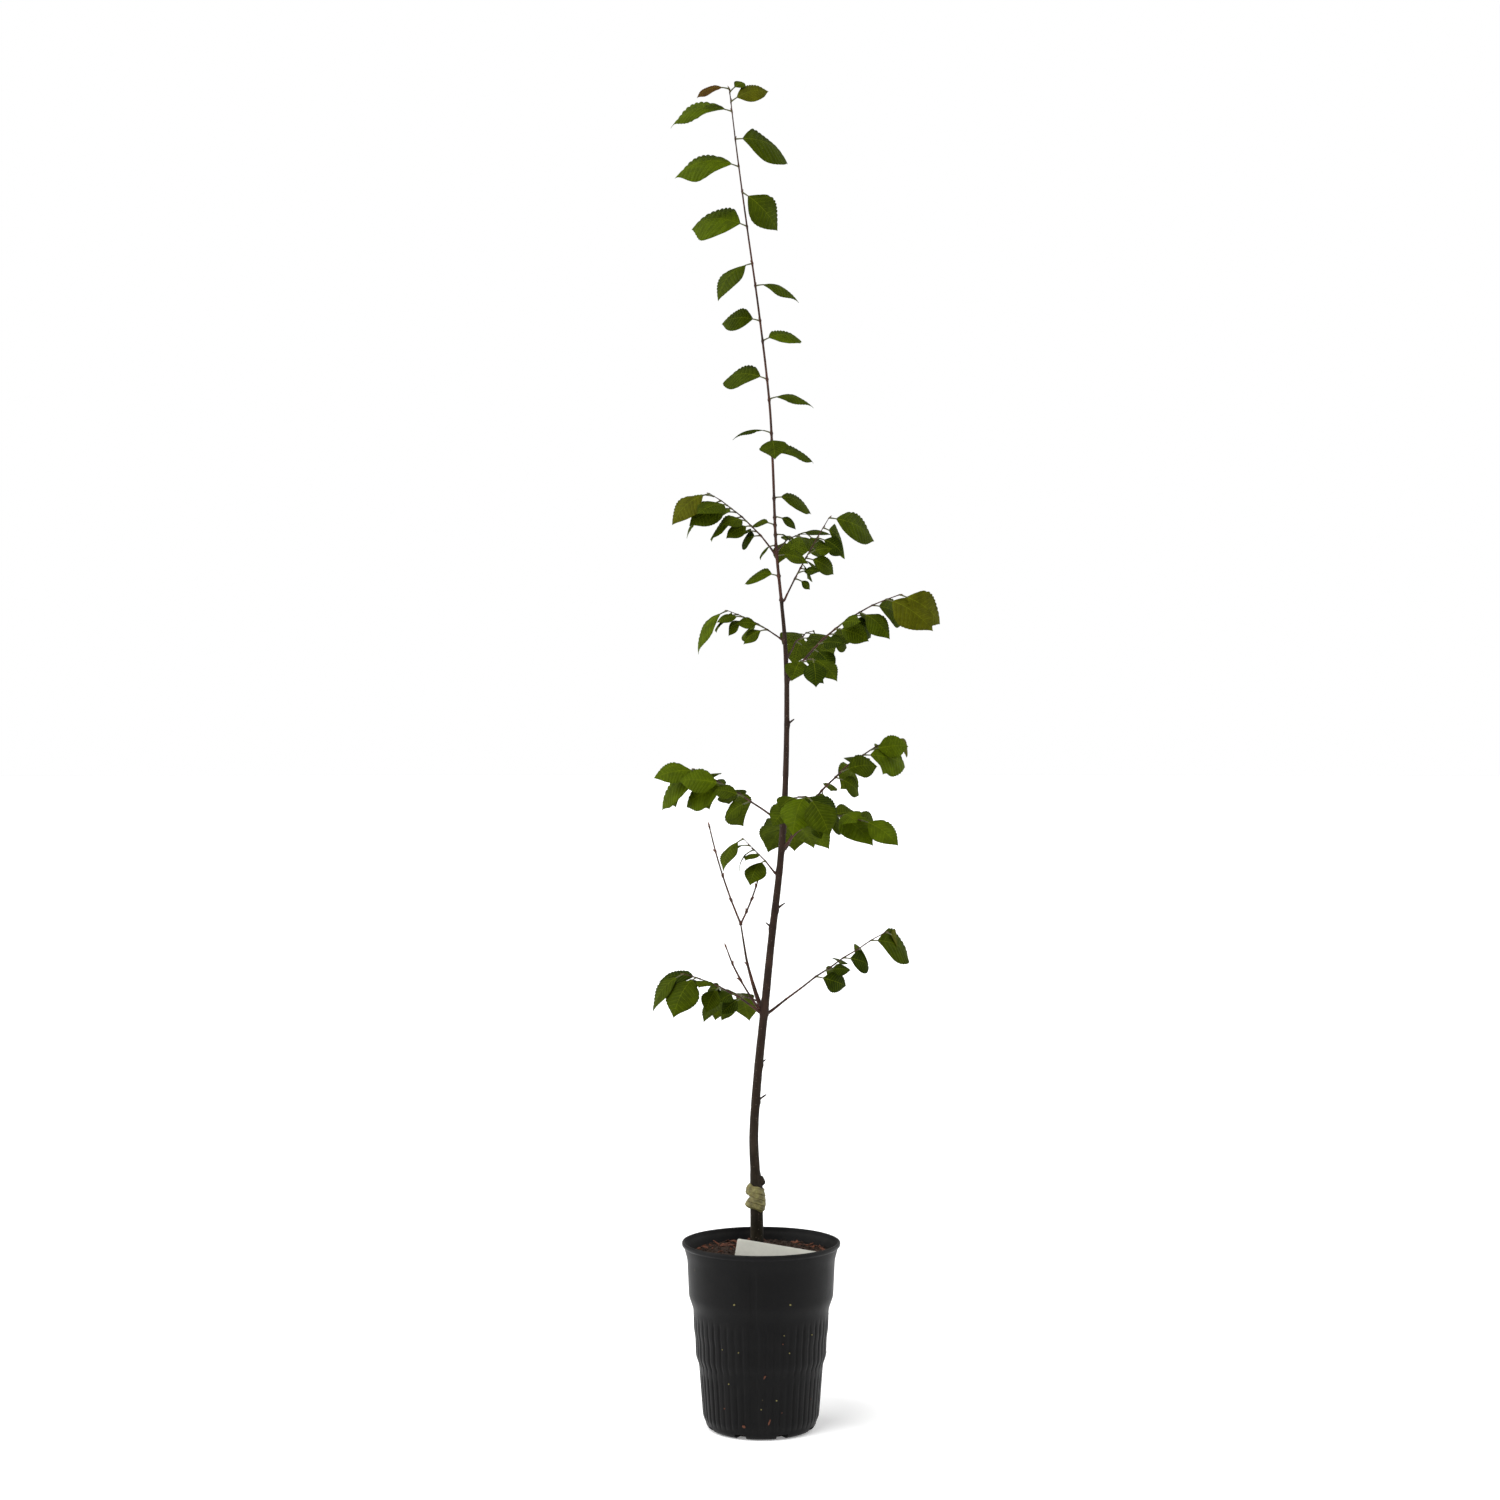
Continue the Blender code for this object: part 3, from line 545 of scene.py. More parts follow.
def shoot_run(shoot):
    """Points, radii and the distance along of each, from the bark to the shoot's tip."""
    centre, bark = stem_at(shoot.height)
    radius = shoot.radius * MM
    tilt = math.sin(math.radians(shoot.rise))
    place = centre + direction(shoot.azimuth, 0) * (bark + CLEAR * MM + radius * tilt)
    marks = leaf_marks(shoot) or [shoot.length * MM * k / BARE_JOINTS for k in range(1, BARE_JOINTS + 1)]
    bare = [shoot.bare * MM * share for share in (0.0, 0.5, 1.0)] if shoot.bare else [0.0]
    stops = bare + [mark for mark in marks if mark > bare[-1]]
    points, radii = [place], [radius]
    for k, (a, b) in enumerate(zip(stops, stops[1:])):
        share = (a + b) / 2 / (shoot.length * MM)
        turn = 0.0 if b <= shoot.bare * MM else ZIGZAG * (-1) ** k
        place = place + direction(shoot.azimuth + turn, shoot.rise - shoot.sag * share) * (b - a)
        points.append(place)
        radii.append(radius * (1 - SHOOT_TAPER * b / (shoot.length * MM)))
    return points, radii, stops


Leaf = namedtuple("Leaf", "root heading upper blade arch axis tint seed")


def hung_leaf(root, azimuth, pitch, roll, blade, arch, axis, tint, seed):
    """A leaf whose upper side is square to its heading, rolled from the sky to -Y."""
    heading = direction(azimuth, pitch)
    tilt = math.radians(roll)
    side = heading.cross(Vector((0.0, -math.sin(tilt), math.cos(tilt)))).normalized()
    return Leaf(root, heading, side.cross(heading), blade * MM, arch, axis, tint, seed)


def shoot_leaves(shoot, points, stops):
    """Leaves in two ranks along a side shoot, hanging a little, the last one at the tip."""
    rng = random.Random(shoot.name)
    leaves = []
    for k, (mark, blade) in enumerate(zip(leaf_marks(shoot), shoot.blades)):
        at = nearest(stops, mark)
        share = (k + 1) / len(shoot.blades)
        spread, pitch = between(SPREADS, share), SIDE_PITCH
        if share == 1.0:
            spread, pitch = END_LEAF_SPREAD, END_LEAF_PITCH
        leaves.append(hung_leaf(
            points[at],
            shoot.azimuth + (shoot.side * (-1) ** k * spread + rng.uniform(-SPREAD_SWAY, SPREAD_SWAY)),
            pitch + rng.uniform(-SWAY, SWAY),
            between(shoot.rolls, share) + rng.uniform(-SWAY, SWAY),
            blade,
            ARCH + rng.uniform(-SWAY, SWAY),
            (points[at] - points[at - 1]).normalized(),
            shoot.tints[k],
            f"{shoot.name} {k}",
        ))
    return leaves


def spur_leaves(shoot, points, stops):
    """Smaller leaves between the others, held higher, so that they cover the twig."""
    rng = random.Random("spur " + shoot.name)
    marks = leaf_marks(shoot)
    leaves = []
    for k in range(min(shoot.spurs, len(marks) - 1)):
        at = nearest(stops, marks[k])
        root = points[at].lerp(points[at + 1], rng.uniform(0.35, 0.65))
        blade = (shoot.blades[k] + shoot.blades[k + 1]) / 2 * rng.uniform(0.66, 0.9)
        leaves.append(hung_leaf(
            root,
            shoot.azimuth + shoot.side * (-1) ** k * (SPUR_SPREAD + rng.uniform(-SWAY, SWAY)),
            SPUR_PITCH + rng.uniform(-SWAY, SWAY),
            between(shoot.rolls, (k + 1) / len(marks)) + rng.uniform(-2 * SWAY, SWAY),
            blade,
            SPUR_ARCH,
            (points[at + 1] - points[at]).normalized(),
            shoot.tints[k],
            f"{shoot.name} spur {k}",
        ))
    return leaves


def all_leaves():
    """The leader's own leaves, each held out and arching down, and those of the shoots."""
    leaves = []
    for height, azimuth, blade, fall, roll, tint in LEADER:
        root, _ = stem_at(height)
        axis = (stem_at(height + 1)[0] - root).normalized()
        seed = f"leader {height}"
        leaves.append(hung_leaf(root, azimuth, ARCH / 2 - fall, roll, blade, ARCH, axis, tint, seed))
    for shoot in SHOOTS:
        points, _, stops = shoot_run(shoot)
        leaves += shoot_leaves(shoot, points, stops) + spur_leaves(shoot, points, stops)
    return leaves


def fork_arms(start):
    """Points of the bare forked shoot's two arms, from their common foot."""
    arms = []
    for sideways, deep, length in FORK_ARMS:
        points = [start]
        for k in range(BARE_JOINTS):
            lean = math.radians(sideways * (1 - FORK_ARM_STRAIGHTENING * k))
            along = Vector((math.sin(lean), math.sin(math.radians(deep)), math.cos(lean)))
            points.append(points[-1] + along * length * MM / BARE_JOINTS)
        arms.append(points)
    return arms


# ---------------------------------------------------------------- leaves


LeafLook = namedtuple("LeafLook", "fold twist bow wave phase width")


def leaf_look(leaf):
    """How one leaf differs from its neighbours."""
    rng = random.Random("look " + leaf.seed)
    return LeafLook(
        fold=BLADE_CUP * rng.uniform(0.5, 1.9),
        twist=math.radians(rng.uniform(-14, 14)),
        bow=rng.uniform(-0.08, 0.08),
        wave=WAVE * rng.uniform(0.6, 1.8),
        phase=rng.uniform(0, 2 * math.pi),
        width=rng.uniform(0.94, 1.03),
    )


def half_width(t):
    """Half width of the blade as a share of its greatest, with a drawn-out tip."""
    full = math.sin(math.pi * t**0.9) if 0 < t < 1 else 0.0
    pinch = max(0.0, (t - TIP_PINCH_START) / (1 - TIP_PINCH_START))
    return full * (1 - TIP_PINCH * pinch * pinch)


def arc_frame(leaf, along):
    """Place and up on the leaf's arched centre line, at a distance from its root."""
    total = PETIOLE_LENGTH * MM + leaf.blade
    bend = math.radians(leaf.arch) * along / total
    curve = math.radians(leaf.arch) / total
    out, down = math.sin(bend) / curve, (1 - math.cos(bend)) / curve
    place = leaf.root + leaf.heading * out - leaf.upper * down
    return place, leaf.upper * math.cos(bend) + leaf.heading * math.sin(bend)


def blade_rows(leaf, pairs):
    """Rows of the blade from foot to tip: place on the midrib, and whether a vein starts there."""
    cell = (LAST_VEIN - FIRST_VEIN) / pairs
    half = VEIN_HALF_MM * MM / leaf.blade
    rows = [(0.0, False), (FIRST_VEIN * 0.5, False)]
    for k in range(pairs):
        at = FIRST_VEIN + cell * k
        rows += [(at - half, True), (at + half, False)]
        rows += [(at + cell * stop, False) for stop in CELL_STOPS]
    return rows + [(LAST_VEIN + (1 - LAST_VEIN) * share, False) for share in (0.0, 0.35, 0.7, 1.0)]


def vein_bulge(v, pairs):
    """1 midway between two veins and 0 on one."""
    phase = (v - FIRST_VEIN) / (LAST_VEIN - FIRST_VEIN) * pairs
    return abs(math.sin(math.pi * phase)) ** 0.75 if 0 < phase < pairs else 0.5


def add_blade(shape, leaf, pairs, pleat):
    """One blade as a closed skin: pleated between its side veins, with raised ribs below."""
    look = leaf_look(leaf)
    across = leaf.heading.cross(leaf.upper).normalized()
    half = leaf.blade * BLADE_WIDTH / 2 * look.width
    rows = blade_rows(leaf, pairs)
    columns = [(-1, f) for f in reversed(ACROSS)] + [(1, f) for f in ACROSS]
    tops, backs = [], []
    for v, _ in rows:
        lean = VEIN_LEAN * (1 - v) * (1 - math.exp(-v / VEIN_LEAN_START))
        bulge = vein_bulge(v, pairs)
        edge = half * half_width(v + lean) * (1 + CRENATION * (2 * bulge - 1))
        edge = max(edge, LEAST_HALF_MM * MM if v > 0.5 else PETIOLE_RADIUS * 0.8 * MM)
        rib = min(MIDRIB_MM * MM * (1 - MIDRIB_TAPER * v), 0.5 * edge)
        reach = min(1.0, edge / (0.6 * half))
        tops.append([])
        backs.append([])
        for side, f in columns:
            t = v + lean * f
            x = rib + (edge - rib) * f
            place, up = arc_frame(leaf, PETIOLE_LENGTH * MM + leaf.blade * t)
            turn = look.twist * t
            right = across * math.cos(turn) + up * math.sin(turn)
            top = up * math.cos(turn) - across * math.sin(turn)
            rise = -look.fold * x * (1 - EDGE_DROP + EDGE_DROP * f)
            rise += pleat * leaf.blade * (bulge - 0.5) * f**0.5 * (1 - 0.3 * f) * reach
            rise += look.wave * leaf.blade * f * f * math.sin(WAVE_COUNT * t + look.phase + side) * reach
            rise += 0.1 * MM * reach * smooth_step(0.0, 0.3, f)
            skin = BLADE_SKIN_MM * MM * (1 - SKIN_TAPER * f)
            if f == 0.0:
                skin += MIDRIB_RISE_MM * MM * (1 - MIDRIB_FADE * v)
            elif f < 0.9:
                skin += VEIN_RISE_MM * MM * max(0.0, 1 - bulge / 0.4) * reach
            spot = place + right * (side * x + look.bow * leaf.blade * t * t)
            tops[-1].append(shape.corner(spot + top * rise))
            backs[-1].append(shape.corner(spot + top * (rise - skin)))
    count = len(columns) - 1
    for j in range(len(rows) - 1):
        for i in range(count):
            vein = i == len(ACROSS) - 1 or (rows[j][1] and 0 < i < count - 1)
            above = tops[j][i], tops[j][i + 1], tops[j + 1][i + 1], tops[j + 1][i]
            below = backs[j][i + 1], backs[j][i], backs[j + 1][i], backs[j + 1][i + 1]
            shape.face(above, VEIN if vein else UPPER)
            shape.face(below, VEIN if vein else UNDER)
        for i in (0, -1):
            shape.face((tops[j][i], tops[j + 1][i], backs[j + 1][i], backs[j][i]))
    for j in (0, -1):
        for i in range(count):
            shape.face((tops[j][i], backs[j][i], backs[j][i + 1], tops[j][i + 1]))


def add_stalk(shape, leaf):
    """The leaf's stalk, thicker where it leaves the twig."""
    points, radii = [], []
    for share in (0.0, 0.2, 0.4, 0.6, 0.8, 1.0, 1.15):
        place, up = arc_frame(leaf, PETIOLE_LENGTH * MM * share)
        points.append(place - up * 0.25 * MM * share)
        radii.append(PETIOLE_RADIUS * MM * (1 + 0.5 * (1 - share) ** 2) * (0.9 if share > 1 else 1.0))
    add_tube(shape, points, radii, 7)


# ---------------------------------------------------------------- nodes


def put(tree, value, socket):
    """Sets a socket to a number or a colour, or links it to a socket or a node's first output."""
    if hasattr(value, "outputs"):
        value = value.outputs[0]
    if isinstance(value, bpy.types.NodeSocket):
        tree.links.new(value, socket)
    elif hasattr(value, "__len__"):
        socket.default_value = (*value, 1.0) if len(value) == 3 else value
    else:
        socket.default_value = value


def add_node(tree, kind, *inputs, **values):
    """A node with its first inputs in order, and other settings and sockets by name."""
    node = tree.nodes.new("ShaderNode" + kind)
    for key, value in values.items():
        if key in node.inputs:
            put(tree, value, node.inputs[key])
        else:
            setattr(node, key, value)
    for value, socket in zip(inputs, node.inputs):
        put(tree, value, socket)
    return node


def mix_colours(tree, mask, low, high, blend="MIX"):
    """The colour between low and high by the mask. Each is a socket or a plain colour."""
    node = add_node(tree, "Mix", data_type="RGBA", blend_type=blend)
    for value, k in ((mask, 0), (low, 6), (high, 7)):
        put(tree, value, node.inputs[k])
    return node.outputs[2]


def calculate(tree, operation, *values, clamp=False):
    return add_node(tree, "Math", *values, operation=operation, use_clamp=clamp).outputs[0]


def map_range(tree, *values):
    """A value from one range mapped to another, 0 to 1 unless given."""
    return add_node(tree, "MapRange", *values).outputs[0]


def scaled_place(tree, scale, stretch=None):
    """Object coordinates times a scale, and drawn out along Z where a stretch is given."""
    place = add_node(tree, "TexCoord").outputs["Object"]
    if stretch is not None:
        squeeze = add_node(tree, "CombineXYZ", 1.0, 1.0, calculate(tree, "DIVIDE", 1.0, stretch))
        place = add_node(tree, "VectorMath", place, squeeze, operation="MULTIPLY")
    sized = add_node(tree, "VectorMath", place, operation="SCALE")
    put(tree, scale, sized.inputs["Scale"])
    return sized.outputs[0]


def cloud(tree, place, detail, roughness=0.5):
    return add_node(tree, "TexNoise", place, Scale=1.0, Detail=detail, Roughness=roughness).outputs[0]


def tone_drift(tree, given):
    """Two colours that drift into each other in soft patches."""
    place = scaled_place(tree, given["Scale"], given["Stretch"])
    ends = [calculate(tree, how, 0.5, given["Softness"]) for how in ("SUBTRACT", "ADD")]
    mask = map_range(tree, cloud(tree, place, 4.0, 0.6), *ends)
    return {"Color": mix_colours(tree, mask, given["Low"], given["High"]), "Mask": mask}


def fine_grain(tree, given):
    """Fine uneven grain, for a bump's height or a roughness."""
    place = scaled_place(tree, given["Scale"], given["Stretch"])
    grains = cloud(tree, place, 6.0, 0.65)
    return {"Value": map_range(tree, grains, 0.3, 0.7, given["Low"], given["High"])}


def settled_dust(tree, given):
    """Dust that settles on what looks up, thinned by patches."""
    patches = map_range(tree, cloud(tree, scaled_place(tree, given["Scale"]), 5.0, 0.7), 0.42, 0.68)
    split = add_node(tree, "SeparateXYZ", add_node(tree, "NewGeometry").outputs["Normal"])
    facing = map_range(tree, split.outputs[2], 0.15, 0.9)
    whole = calculate(tree, "ADD", facing, given["Everywhere"])
    mask = calculate(tree, "MULTIPLY", calculate(tree, "MULTIPLY", whole, patches), given["Amount"])
    return {"Mask": calculate(tree, "MINIMUM", mask, 1.0)}


def specks(tree, given):
    """Scattered small spots, by their spacing, their size and the share of places that have one."""
    place = scaled_place(tree, given["Scale"], given["Stretch"])
    cells = add_node(tree, "TexVoronoi", place, Scale=1.0)
    inner = calculate(tree, "MULTIPLY", given["Size"], 0.6)
    near = map_range(tree, cells.outputs["Distance"], given["Size"], inner)
    split = add_node(tree, "SeparateColor", cells.outputs["Color"])
    chosen = calculate(tree, "LESS_THAN", split.outputs[0], given["Share"])
    return {"Mask": calculate(tree, "MULTIPLY", near, chosen)}


def rubbed_edges(tree, given):
    """Where the surface is sharply convex, broken up by patches."""
    point = add_node(tree, "NewGeometry").outputs["Pointiness"]
    edge = map_range(tree, point, given["Start"], given["End"])
    patches = map_range(tree, cloud(tree, scaled_place(tree, given["Scale"]), 3.0), 0.4, 0.6)
    return {"Mask": calculate(tree, "MULTIPLY", edge, patches)}


# Each shared effect with its inputs and their defaults.
EFFECTS = {
    tone_drift: {
        "Scale": 40.0, "Stretch": 1.0, "Softness": 0.2, "Low": (0, 0, 0, 1), "High": (1, 1, 1, 1),
    },
    fine_grain: {"Scale": 600.0, "Stretch": 1.0, "Low": 0.0, "High": 1.0},
    settled_dust: {"Scale": 60.0, "Amount": 0.5, "Everywhere": 0.1},
    specks: {"Scale": 120.0, "Stretch": 1.0, "Size": 0.2, "Share": 0.3},
    rubbed_edges: {"Start": 0.52, "End": 0.62, "Scale": 150.0},
}


def new_group(build):
    """A shared effect as a shader node group with named inputs and outputs."""
    group = bpy.data.node_groups.new(build.__name__, "ShaderNodeTree")
    kinds = {True: "NodeSocketColor", False: "NodeSocketFloat"}
    for name, default in EFFECTS[build].items():
        kind = kinds[isinstance(default, tuple)]
        group.interface.new_socket(name=name, in_out="INPUT", socket_type=kind).default_value = default
    results = build(group, group.nodes.new("NodeGroupInput").outputs)
    for name in results:
        group.interface.new_socket(name=name, in_out="OUTPUT", socket_type=kinds[name == "Color"])
    ends = group.nodes.new("NodeGroupOutput").inputs
    for name, result in results.items():
        put(group, result, ends[name])
    return group


def effect(tree, build, **values):
    """A shared effect placed in a material with its own values."""
    node = tree.nodes.new("ShaderNodeGroup")
    node.node_tree = bpy.data.node_groups.get(build.__name__) or new_group(build)
    for name, value in values.items():
        put(tree, value, node.inputs[name])
    return node


def grain(tree, scale, stretch=1.0, low=0.0, high=1.0):
    """Fine grain from low to high."""
    return effect(tree, fine_grain, Scale=scale, Stretch=stretch, Low=low, High=high)


def shade(colour, factor):
    """A colour made darker or lighter, at most white."""
    return tuple(min(1.0, c * factor) for c in colour)


def toned(tree, colour, low, high, **values):
    """A colour that drifts between a low and a high shade of itself."""
    return effect(tree, tone_drift, Low=shade(colour, low), High=shade(colour, high), **values)


# ---------------------------------------------------------------- materials


def new_material(name, roughness, specular=0.5, **steady):
    """A material whose steady values are set on its shader's own sockets."""
    material = bpy.data.materials.new(name)
    material.use_nodes = True
    inputs = material.node_tree.nodes["Principled BSDF"].inputs
    inputs["Roughness"].default_value = roughness
    inputs["Metallic"].default_value = 0.0
    inputs["Specular IOR Level"].default_value = specular
    for key, value in steady.items():
        inputs[key.replace("_", " ")].default_value = value
    return material, material.node_tree


def coat(material, colour, height, depth, strength, rough=None):
    """Feeds the material's shader its colour, the relief of a height, and its roughness."""
    tree = material.node_tree
    shader = tree.nodes["Principled BSDF"]
    put(tree, colour, shader.inputs["Base Color"])
    if rough:
        put(tree, rough, shader.inputs["Roughness"])
    bump = add_node(tree, "Bump", Distance=depth, Strength=strength, Height=height)
    put(tree, bump, shader.inputs["Normal"])
    return material


def pot_material(settings):
    material, tree = new_material("pot_plastic", 0.45, 0.10, Sheen_Weight=0.13, Sheen_Roughness=0.30)
    plastic = toned(tree, settings.plastic, 0.7, 1.5, Scale=22.0, Stretch=3.0, Softness=0.25)
    rubbed = effect(tree, rubbed_edges, Start=0.515, End=0.58, Scale=160.0)
    dust = effect(tree, settled_dust, Scale=70.0, Amount=0.5, Everywhere=0.06)
    spots = effect(tree, specks, Scale=95.0, Size=0.09, Share=0.10)
    plastic = mix_colours(tree, rubbed, plastic, shade(settings.plastic, 2.6))
    plastic = mix_colours(tree, dust, plastic, settings.dust)
    plastic = mix_colours(tree, spots, plastic, (0.055, 0.044, 0.022))
    dull = calculate(tree, "MULTIPLY", dust, 0.4)
    rough = calculate(tree, "ADD", grain(tree, 45.0, 6.0, 0.44, 0.58), dull, clamp=True)
    return coat(material, plastic, grain(tree, 900.0, 2.0), 0.00006, 0.6, rough)


def soil_material(settings):
    material, tree = new_material("potting_mix", 0.92, 0.25)
    mix = toned(tree, settings.mix, 0.45, 1.7, Scale=170.0, Softness=0.16)
    spots = effect(tree, specks, Scale=420.0, Size=0.3, Share=0.16)
    mix = mix_colours(tree, spots, mix, shade(settings.chip, 0.5))
    return coat(material, mix, grain(tree, 700.0), 0.0006, 0.8)


def chip_material(settings):
    material, tree = new_material("bark_chip", 0.72, 0.35)
    bark = toned(tree, settings.chip, 0.28, 1.35, Scale=95.0, Softness=0.14)
    bark = mix_colours(tree, grain(tree, 900.0, 0.2, 0.0, 0.55), bark, shade(settings.chip, 0.35))
    return coat(material, bark, grain(tree, 1100.0, 0.25), 0.0003, 0.7)


def tag_material(settings):
    material, tree = new_material("label_plastic", 0.48)
    plastic = toned(tree, settings.plastic, 0.86, 1.05, Scale=55.0, Softness=0.3)
    smudges = effect(tree, specks, Scale=130.0, Size=0.22, Share=0.12)
    dust = effect(tree, settled_dust, Scale=140.0, Amount=0.35, Everywhere=0.25)
    plastic = mix_colours(tree, dust, plastic, (0.34, 0.31, 0.24))
    plastic = mix_colours(tree, calculate(tree, "MULTIPLY", smudges, 0.3), plastic, (0.14, 0.12, 0.08))
    rough = grain(tree, 200.0, 1.0, 0.4, 0.6)
    return coat(material, plastic, grain(tree, 800.0), 0.00003, 0.5, rough)


def tape_material(settings):
    material, tree = new_material("graft_tape", 0.5, 0.2)
    film = toned(tree, settings.film, 0.42, 1.2, Scale=200.0, Stretch=0.6, Softness=0.16)
    stains = effect(tree, settled_dust, Scale=330.0, Amount=0.75, Everywhere=0.45)
    film = mix_colours(tree, stains, film, (0.13, 0.095, 0.035))
    rough = grain(tree, 300.0, 1.0, 0.35, 0.65)
    return coat(material, film, grain(tree, 650.0, 0.4), 0.00025, 0.7, rough)


def bark_colour(tree, settings, base):
    """Bark with grey skin in streaks and pale breathing pores over a base colour."""
    low, high = (0.55,) * 3, (1.35,) * 3
    drift = effect(tree, tone_drift, Scale=160.0, Stretch=2.5, Softness=0.2, Low=low, High=high)
    bark = mix_colours(tree, 1.0, base, drift, "MULTIPLY")
    skin = calculate(tree, "MAXIMUM", grain(tree, 110.0, 5.0, -0.9, 0.8), 0.0)
    bark = mix_colours(tree, skin, bark, settings.film)
    pores = effect(tree, specks, Scale=420.0, Stretch=0.6, Size=0.26, Share=0.2)
    return mix_colours(tree, calculate(tree, "MULTIPLY", pores, 0.7), bark, (0.15, 0.115, 0.085)), pores


def stem_material(settings):
    """Bark that goes from the old bark of the rootstock to the young bark above the union."""
    material, tree = new_material("stem_bark", 0.68, 0.12)
    split = add_node(tree, "SeparateXYZ", add_node(tree, "TexCoord").outputs["Object"])
    upward = map_range(tree, split.outputs[2], OLD_BARK_TOP * MM, YOUNG_BARK_FOOT * MM)
    bark, pores = bark_colour(tree, settings, mix_colours(tree, upward, settings.old, settings.young))
    height = calculate(tree, "ADD", grain(tree, 420.0, 3.0), calculate(tree, "MULTIPLY", pores, 0.8))
    return coat(material, bark, height, 0.00025, 0.8)


def twig_material(settings):
    material, tree = new_material("twig_bark", 0.55, 0.18)
    young = shade(settings.young, 0.8)
    base = effect(tree, tone_drift, Scale=60.0, Softness=0.2, Low=young, High=settings.tip)
    bark, pores = bark_colour(tree, settings, base)
    return coat(material, bark, calculate(tree, "ADD", grain(tree, 700.0, 2.0), pores), 0.00012, 0.7)


def soft_material(name, colour, roughness, scale, specular=0.5):
    """A plain living surface: one colour with some drift, and fine relief."""
    material, tree = new_material(name, roughness, specular)
    tone = toned(tree, colour, 0.72, 1.22, Scale=120.0, Softness=0.2)
    rough = grain(tree, scale, 1.0, roughness - 0.07, roughness + 0.07)
    return coat(material, tone, grain(tree, scale), 0.00005, 0.6, rough)


def leaf_materials(name, colour):
    """Upper side, veins and under side of one tint."""
    vein = [0.72 * c + 0.28 * pale for c, pale in zip(colour, (0.18, 0.22, 0.008))]
    under = [0.7 * c + 0.3 * pale for c, pale in zip(colour, (0.09, 0.12, 0.010))]
    sides = (("upper", colour, 0.56), ("vein", vein, 0.58), ("under", under, 0.68))
    return [soft_material(f"leaf_{name}_{side}", hue, rough, 1500.0, 0.03) for side, hue, rough in sides]


# ---------------------------------------------------------------- pot and its fill


def pot_radius(height):
    """Outer radius of the wall at a height, its corners rounded, in millimetres."""

    def corner_radius(z):
        for (low, inner), (high, outer) in zip(POT_OUTLINE, POT_OUTLINE[1:]):
            if z <= high:
                return inner + (outer - inner) * (z - low) / (high - low)
        return POT_OUTLINE[-1][1]

    offsets = (-1.0, -0.5, 0.0, 0.5, 1.0)
    return sum(corner_radius(height + POT_ROUNDING * k) for k in offsets) / len(offsets)


def pot_sway(angle, height, sway):
    """How far the thin wall stands off its round shape, more so up at the lip."""
    share = (height / POT_OUTLINE[-1][0]) ** 2
    wander = math.cos(2 * angle + 0.7) + 0.6 * math.cos(3 * angle - 1.1) + 0.35 * math.cos(7 * angle)
    return -sway / MM * share * (1 - 0.5 * wander) * 0.6


def flute_share(height):
    """How far the flutes are worked in at a height: they fade out at the steps."""
    return max(
        smooth_step(low, low + FLUTE_FADE, height) * (1 - smooth_step(high - FLUTE_FADE, high, height))
        for low, high in FLUTED
    )


def wall_cut(angle, height, settings):
    """How far the flutes and the seam cut into the outside of the wall, in millimetres."""
    trough = max(0.0, math.cos(settings.flute_count * (angle - SEAM_ANGLE) + math.pi)) ** 1.5
    place = Vector((math.cos(angle) * 5.0, math.sin(angle) * 5.0, height / 70.0))
    uneven = 0.62 + 0.38 * noise.noise(place)
    cut = settings.flute_depth / MM * flute_share(height) * trough * uneven
    away = abs((angle - SEAM_ANGLE + math.pi) % (2 * math.pi) - math.pi)
    low, high = SEAM_REACH
    reach = smooth_step(low, low + 5, height) * (1 - smooth_step(high - 6, high, height))
    return cut + SEAM_DEPTH * reach * (1 - smooth_step(0.55 * SEAM_HALF, SEAM_HALF, away))


def pot_columns():
    """Angles round the pot, with some inside each drain slot, and the set of those in a slot."""
    angles, in_slot = [], set()
    step = 2 * math.pi / SLOT_COUNT
    for k in range(SLOT_COUNT):
        middle = SLOT_TURN + k * step
        in_slot.update(range(len(angles), len(angles) + SLOT_COLUMNS))
        angles += [middle + SLOT_HALF * (2 * i / SLOT_COLUMNS - 1) for i in range(SLOT_COLUMNS)]
        wide = step - 2 * SLOT_HALF
        angles += [middle + SLOT_HALF + wide * i / BETWEEN_COLUMNS for i in range(BETWEEN_COLUMNS)]
    return angles, in_slot


def round_row(shape, angles, radius_at, height):
    """Corners round the pot's axis, with a radius for each angle, and one height or one by x and y."""
    row = []
    for angle in angles:
        r = radius_at(angle)
        x, y = r * math.cos(angle), r * math.sin(angle)
        z = height(x, y) if callable(height) else height
        row.append(shape.corner((x * MM, y * MM, z * MM)))
    return row


